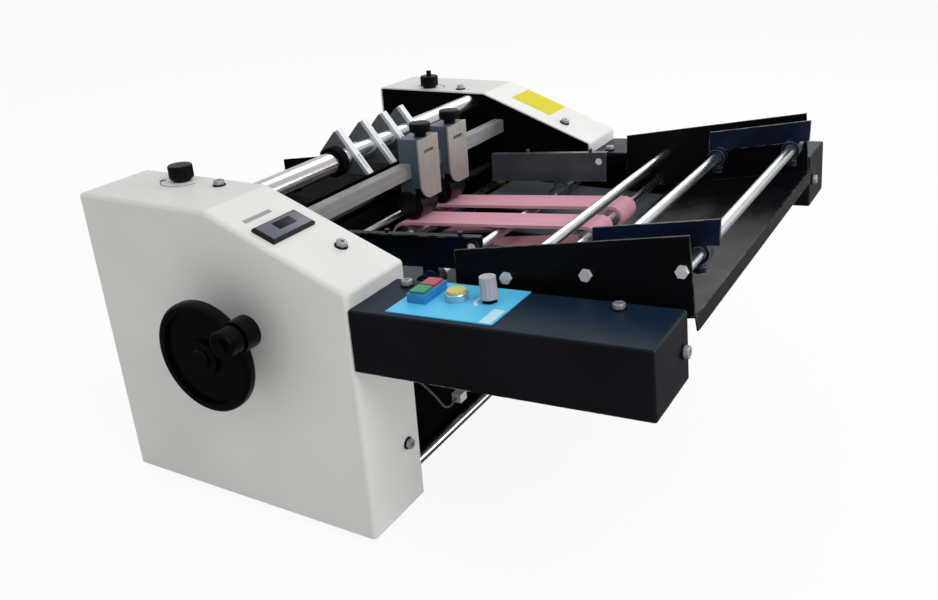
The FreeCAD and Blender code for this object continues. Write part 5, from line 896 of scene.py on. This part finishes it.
@dataclass
class Gates:
    """Both separator gates: carriage, rubber wheel, plate and knob."""

    middles: Pair = (283.0, 342.0)
    knob_x: float = 178.0
    block_top: float = 275.3
    stud_radius: float = 2.5
    stud_length: float = 14.0
    neck_radius: float = 6.4
    neck_height: float = 5.0
    grip_radius: float = 11.0
    grip_height: float = 9.0
    crown_round: float = 1.3
    ribs: int = 24
    rib_depth: float = 0.7

    def build(self) -> None:
        """Dresses the gates and builds their ribbed knobs."""
        dress(CARRIAGE_BLUE, "near_gate_carriage", "far_gate_carriage")
        dress(GATE_STEEL, "near_gate_plate", "far_gate_plate")
        for side, y in zip(("near", "far"), self.middles):
            knob = placed(self.knob(), (self.knob_x, y, self.block_top))
            stands_for = (f"{side}_gate_knob",)
            piece(f"{side}_gate_grip", knob, KNOB_BLACK, f"{side}_gate_screw", stands_for)

    def knob(self) -> Shape:
        """Ribbed grip on a neck, with the stud that turns in the carriage."""
        middle = Matrix.Translation((0, 0, self.neck_height + self.grip_height / 2))
        grip = bmesh.new()
        bmesh.ops.create_cone(
            grip, cap_ends=True, segments=2 * self.ribs, radius1=self.grip_radius,
            radius2=self.grip_radius, depth=self.grip_height, matrix=middle,
        )
        crown = [e for e in grip.edges if all(v.co.z > self.neck_height + 1 for v in e.verts)]
        bmesh.ops.bevel(
            grip, geom=crown, offset=self.crown_round, affect="EDGES", segments=3, profile=0.5, material=-1,
            clamp_overlap=True,
        )
        sides = [f for f in grip.faces if abs(f.normal.z) < 0.1]
        sides.sort(key=lambda f: math.atan2(f.calc_center_median().y, f.calc_center_median().x))
        bmesh.ops.inset_individual(
            grip, faces=sides[::2], thickness=0.15, depth=-self.rib_depth, use_even_offset=True
        )
        radius, high = self.neck_radius, self.neck_height
        neck = [(0.0, 0.0), (radius, 0.0), (radius, high), (0.0, high)]
        radius, low = self.stud_radius, -self.stud_length
        stud = [(0.0, low), (radius, low), (radius, 0.0), (0.0, 0.0)]
        return together([grip, turned(neck, 40), turned(stud, 24)])


@dataclass
class HoldDownArms:
    """Four wedge-shaped arms on the thick bar, each with a bright slotted strip."""

    def build(self) -> None:
        """Dresses the arms."""
        dress(ARM_METAL, *(f"hold_down_arm_{number}" for number in range(1, 5)))


@dataclass
class FeedSection:
    """Feed belts with their rollers, the table under them, and the front guides."""

    def build(self) -> None:
        """Dresses the feed section."""
        dress(ROD_CHROME, "feed_shaft", "belt_idler")
        dress(BELT_PINK, "feed_belts")
        dress(TABLE_GREY, "feed_table")
        dress(INNER_BLACK, "front_apron")
        dress(FRONT_GUIDE_BLUE, "near_front_guide")
        dress(FAR_GUIDE_PAINTED_SHEEN, "far_front_guide")
        dress(PLUG_WHITE, "loom_plug")


@dataclass
class Tray:
    """Slanted feed tray: its floor, sides and sliding guides."""

    def build(self) -> None:
        """Dresses the tray."""
        dress(TRAY_BLACK, "tray_floor", "tray_side_plates")
        dress(GUIDE_BLUE, "near_tray_guide", "far_tray_guide")


@dataclass
class ControlBoxes:
    """Both control boxes, the blue panel and its buttons and knob."""

    layout: Layout
    twin_low: Pair = (42.0, 24.5)
    twin_high: Pair = (58.5, 57.5)
    twin_height: float = 7.5
    wall: float = 1.6
    well_floor: float = 1.5
    yellow: Pair = (77.5, 40.0)
    ring_inner: float = 7.7
    ring_outer: float = 9.0
    ring_height: float = 6.5
    speed: Pair = (104.0, 43.0)
    nut_across: float = 11.0
    nut_height: float = 3.0
    stem_radius: float = 3.0
    stem_height: float = 10.0
    arc: Pair = (9.6, 12.6)
    arc_start: float = 140.0
    arc_sweep: float = 95.0
    strip_low: Pair = (114.0, 7.0)
    strip_high: Pair = (123.5, 31.0)
    film: float = 0.15

    def build(self) -> None:
        """Dresses the boxes and builds the controls."""
        self.dress()
        self.housing()
        self.ring()
        self.nut()
        self.print()

    def dress(self) -> None:
        """Gives the boxes, the panel and the moving controls their finishes."""
        dress(BOX_BLACK, "near_control_box", "far_control_box")
        dress(PANEL_BLUE, "control_panel")
        dress(BUTTON_GREEN, "green_button")
        dress(BUTTON_RED, "red_button")
        dress(BUTTON_YELLOW, "yellow_button")
        dress(KNOB_GREY, "speed_knob")

    def on_panel(self, x: float = 0.0, y: float = 0.0) -> Matrix:
        """Frame on the panel's face at a place along and across the box."""
        size = self.layout
        return size.box() @ Matrix.Translation((x, y, size.box_height + size.panel_sheet))

    def housing(self) -> None:
        """Blue housing with a well for each square button."""
        shape = block((*self.twin_low, 0.0), (*self.twin_high, self.twin_height))
        middle = (self.twin_low[1] + self.twin_high[1]) / 2
        everything = list(shape.verts) + list(shape.edges) + list(shape.faces)
        bmesh.ops.bisect_plane(shape, geom=everything, plane_co=(0, middle, 0), plane_no=(0, 1, 0))
        tops = [f for f in shape.faces if f.normal.z > 0.9]
        bmesh.ops.inset_individual(shape, faces=tops, thickness=self.wall, use_even_offset=True)
        for side in (-1, 1):
            # The wall between the wells is as thin as the others.
            edge = middle + side * self.wall
            inner = [v for f in tops for v in f.verts if abs(v.co.y - edge) < 0.01]
            bmesh.ops.translate(shape, verts=list(set(inner)), vec=(0, -side * self.wall / 2, 0))
        depth = self.twin_height - self.well_floor
        bmesh.ops.inset_individual(shape, faces=tops, thickness=0.01, depth=-depth, use_even_offset=True)
        soften(shape, 0.35, 2, 50.0)
        housing = carried(shape, self.on_panel())
        stands_for = ("button_housings",)
        piece("twin_button_housing", housing, HOUSING_BLUE, stands_for=stands_for)

    def ring(self) -> None:
        """Bright ring round the yellow button."""
        inner, outer, high = self.ring_inner, self.ring_outer, self.ring_height
        floor = self.well_floor
        profile = [(0.0, 0.0), (outer, 0.0), (outer, high - 0.7), (outer - 0.5, high)]
        profile += [(inner, high), (inner, floor), (0.0, floor)]
        shape = carried(turned(profile, 56), self.on_panel(*self.yellow))
        piece("yellow_button_ring", shape, RING_SILVER)

    def nut(self) -> None:
        """Black nut and stem under the speed knob."""
        nut = soften(hexagon(self.nut_across, self.nut_height), 0.5, 2)
        radius, high = self.stem_radius, self.stem_height
        profile = [(0.0, 0.0), (radius, 0.0), (radius, high - 0.4), (radius - 0.4, high), (0.0, high)]
        stem = turned(profile, 32)
        shape = carried(together([nut, stem]), self.on_panel(*self.speed))
        piece("speed_knob_nut", shape, KNOB_BLACK)

    def print(self) -> None:
        """Pale printed arc beside the speed knob and the pale strip near the panel's outer edge."""
        arc = arc_band(*self.arc, self.arc_start, self.arc_sweep, self.film)
        carried(arc, Matrix.Translation((*self.speed, 0)))
        strip = soften(block((*self.strip_low, 0.0), (*self.strip_high, self.film)), 0.05, 1)
        shape = carried(together([arc, strip]), self.on_panel())
        piece("panel_print", shape, PRINT_WHITE)


@dataclass
class Counter:
    """Panel counter let into the near cover's slope."""

    layout: Layout
    middle: Pair = (55.5, 35.5)
    bezel: Pair = (23.5, 52.0)
    bezel_height: float = 3.5
    rim: float = 2.0
    face_sheet: float = 0.4
    window_low: Pair = (49.0, 27.0)
    window_high: Pair = (58.5, 48.0)

    def build(self) -> None:
        """Dresses the case and lays the grey face and the dark window on it."""
        dress(CASE_BLACK, "counter_case")
        half_x, half_y = self.bezel[0] / 2 - self.rim, self.bezel[1] / 2 - self.rim
        x, y = self.middle
        top = self.bezel_height + self.face_sheet
        low = (x - half_x, y - half_y, self.bezel_height)
        face = soften(block(low, (x + half_x, y + half_y, top)), 0.15, 2)
        piece("counter_face", carried(face, self.layout.slope()), BEZEL_GREY)
        window = soften(block((*self.window_low, top), (*self.window_high, top + self.face_sheet)), 0.15, 2)
        piece("counter_window", carried(window, self.layout.slope()), WINDOW_DARK)


@dataclass
class Handwheel:
    """Handwheel and its turning handle."""

    shaft: Pair = (164.5, 169.3)
    face_y: float = -42.0
    cap_radius: float = 9.0
    cap_height: float = 2.4

    def build(self) -> None:
        """Dresses the wheel and its handle, and covers the shaft's end with a cap."""
        dress(WHEEL_BLACK, "handwheel", "crank_handle")
        radius, high = self.cap_radius, self.cap_height
        profile = [(0.0, 0.0), (radius, 0.0), (radius, high * 0.4), (radius * 0.85, high * 0.85)]
        cap = turned(profile + [(0.0, high)], 48)
        placed(cap, (self.shaft[0], self.face_y, self.shaft[1]), (0, -1, 0))
        piece("wheel_hub_cap", cap, WHEEL_BLACK, body="feed_drive")


@dataclass
class Drive:
    """Motor, pulleys and timing belts in the far cabinet, and the mains inlet."""

    def build(self) -> None:
        """Dresses the drive."""
        dress(MOTOR_GREY, "motor")
        dress(MILLED_ALUMINIUM, "motor_pulley")
        dress(RUBBER_BLACK, "timing_belts")
        dress(CASE_BLACK, "power_inlet")


@dataclass
class Studio:
    """Pale floor, soft lamps and the camera at the photograph's place."""

    lens: float = 35.604
    eye: Triple = (701.30, -503.76, 504.18)
    right: Triple = (0.8667, 0.4956, -0.0586)
    down: Triple = (0.1545, -0.3781, -0.9128)
    forward: Triple = (-0.4745, 0.7820, -0.4042)
    floor_size: float = 30.0
    sky: float = 0.54
    mirrored_sky: float = 0.85

    def build(self) -> None:
        """Sets up floor, world, lamps and camera."""
        self.floor()
        self.world()
        self.lamp("key_lamp", (1.3, -0.5, 1.5), 1.2, 16.0)
        self.lamp("back_lamp", (-0.2, 1.7, 1.4), 1.1, 9.0)
        self.lamp("side_lamp", (1.5, 1.1, 0.35), 0.5, 8.0)
        self.camera()

    def floor(self) -> None:
        """Lays a pale floor that the camera sees as white and that keeps the machine's shadow."""
        shape = bmesh.new()
        bmesh.ops.create_grid(shape, x_segments=1, y_segments=1, size=self.floor_size / 2)
        mesh = bpy.data.meshes.new("studio_floor")
        shape.to_mesh(mesh)
        shape.free()
        mesh.transform(Matrix.Translation((0, 0, -0.0002)))
        paper = bpy.data.materials.new("pale_studio_paper")
        paper.use_nodes = True
        tree = paper.node_tree
        tree.nodes.clear()
        path = add(tree, "LightPath").outputs
        # Mirrored in bright and black faces the floor is darker, like the edge of a real sweep.
        tint = {0: path["Is Glossy Ray"], 6: linear("F2F2F1"), 7: linear("8C8C8C")}
        colour = add(tree, "Mix", tint, data_type="RGBA").outputs[2]
        cloth = add(tree, "BsdfDiffuse", {"Color": colour}).outputs[0]
        white = add(tree, "Emission", {"Color": (1, 1, 1, 1), "Strength": 1.0}).outputs[0]
        share = add(tree, "Math", {0: path["Is Camera Ray"], 1: 0.92}, operation="MULTIPLY").outputs[0]
        mixed = add(tree, "MixShader", {0: share, 1: cloth, 2: white}).outputs[0]
        add(tree, "OutputMaterial", {"Surface": mixed})
        mesh.materials.append(paper)
        shown("studio_floor", mesh)

    def world(self) -> None:
        """Lights the machine softly all round, and shows white to the camera and in reflections."""
        sky = bpy.data.worlds.new("studio_sky")
        sky.use_nodes = True
        tree = sky.node_tree
        tree.nodes.clear()
        path = add(tree, "LightPath").outputs
        rays = {0: path["Is Camera Ray"], 1: path["Is Transmission Ray"]}
        seen = add(tree, "Math", rays, operation="MAXIMUM").outputs[0]
        mirrored = {"Value": path["Is Glossy Ray"], "To Min": self.sky, "To Max": self.mirrored_sky}
        level = add(tree, "MapRange", mirrored).outputs["Result"]
        level = add(tree, "MapRange", {"Value": seen, "To Min": level, "To Max": 1.0}).outputs["Result"]
        back = add(tree, "Background", {"Color": (1, 1, 1, 1), "Strength": level}).outputs[0]
        add(tree, "OutputWorld", {"Surface": back})
        bpy.context.scene.world = sky

    def lamp(self, name: str, place: Triple, size: float, power: float) -> None:
        """Hangs a square lamp that faces the machine.

        Args:
            name: The lamp's name.
            place: Where it hangs, in metres.
            size: Length of its side, in metres.
            power: Its power in watts.
        """
        light = bpy.data.lights.new(name, "AREA")
        light.size = size
        light.energy = power
        hung = shown(name, light)
        aim = (Vector((0, 0, 0.15)) - Vector(place)).to_track_quat("-Z", "Y")
        hung.matrix_world = Matrix.Translation(place) @ aim.to_matrix().to_4x4()

    def camera(self) -> None:
        """Puts the camera where the photograph was taken from."""
        lens = bpy.data.cameras.new("photo_camera")
        lens.sensor_width = 36.0
        lens.lens = self.lens
        lens.clip_end = 100.0
        held = shown("photo_camera", lens)
        axes = Matrix((self.right, -Vector(self.down), -Vector(self.forward))).transposed()
        held.matrix_world = Matrix.Translation(DRAWING @ Vector(self.eye)) @ axes.to_4x4()
        bpy.context.scene.camera = held


def main() -> None:
    """Builds every sub-assembly in order and reports it."""
    logging.basicConfig(level=logging.INFO, format="%(message)s")
    layout = Layout()
    parts = [
        Studio(),
        LoomLead(),
        Cabinets(layout),
        CrossBars(),
        CreaseStation(layout),
        Gates(),
        HoldDownArms(),
        FeedSection(),
        Tray(),
        ControlBoxes(layout),
        Counter(layout),
        Handwheel(),
        Drive(),
    ]
    for part in parts:
        part.build()
        log.info("built %s", type(part).__name__)
    bpy.context.scene.view_settings.view_transform = "Standard"


if __name__ == "__main__":
    main()
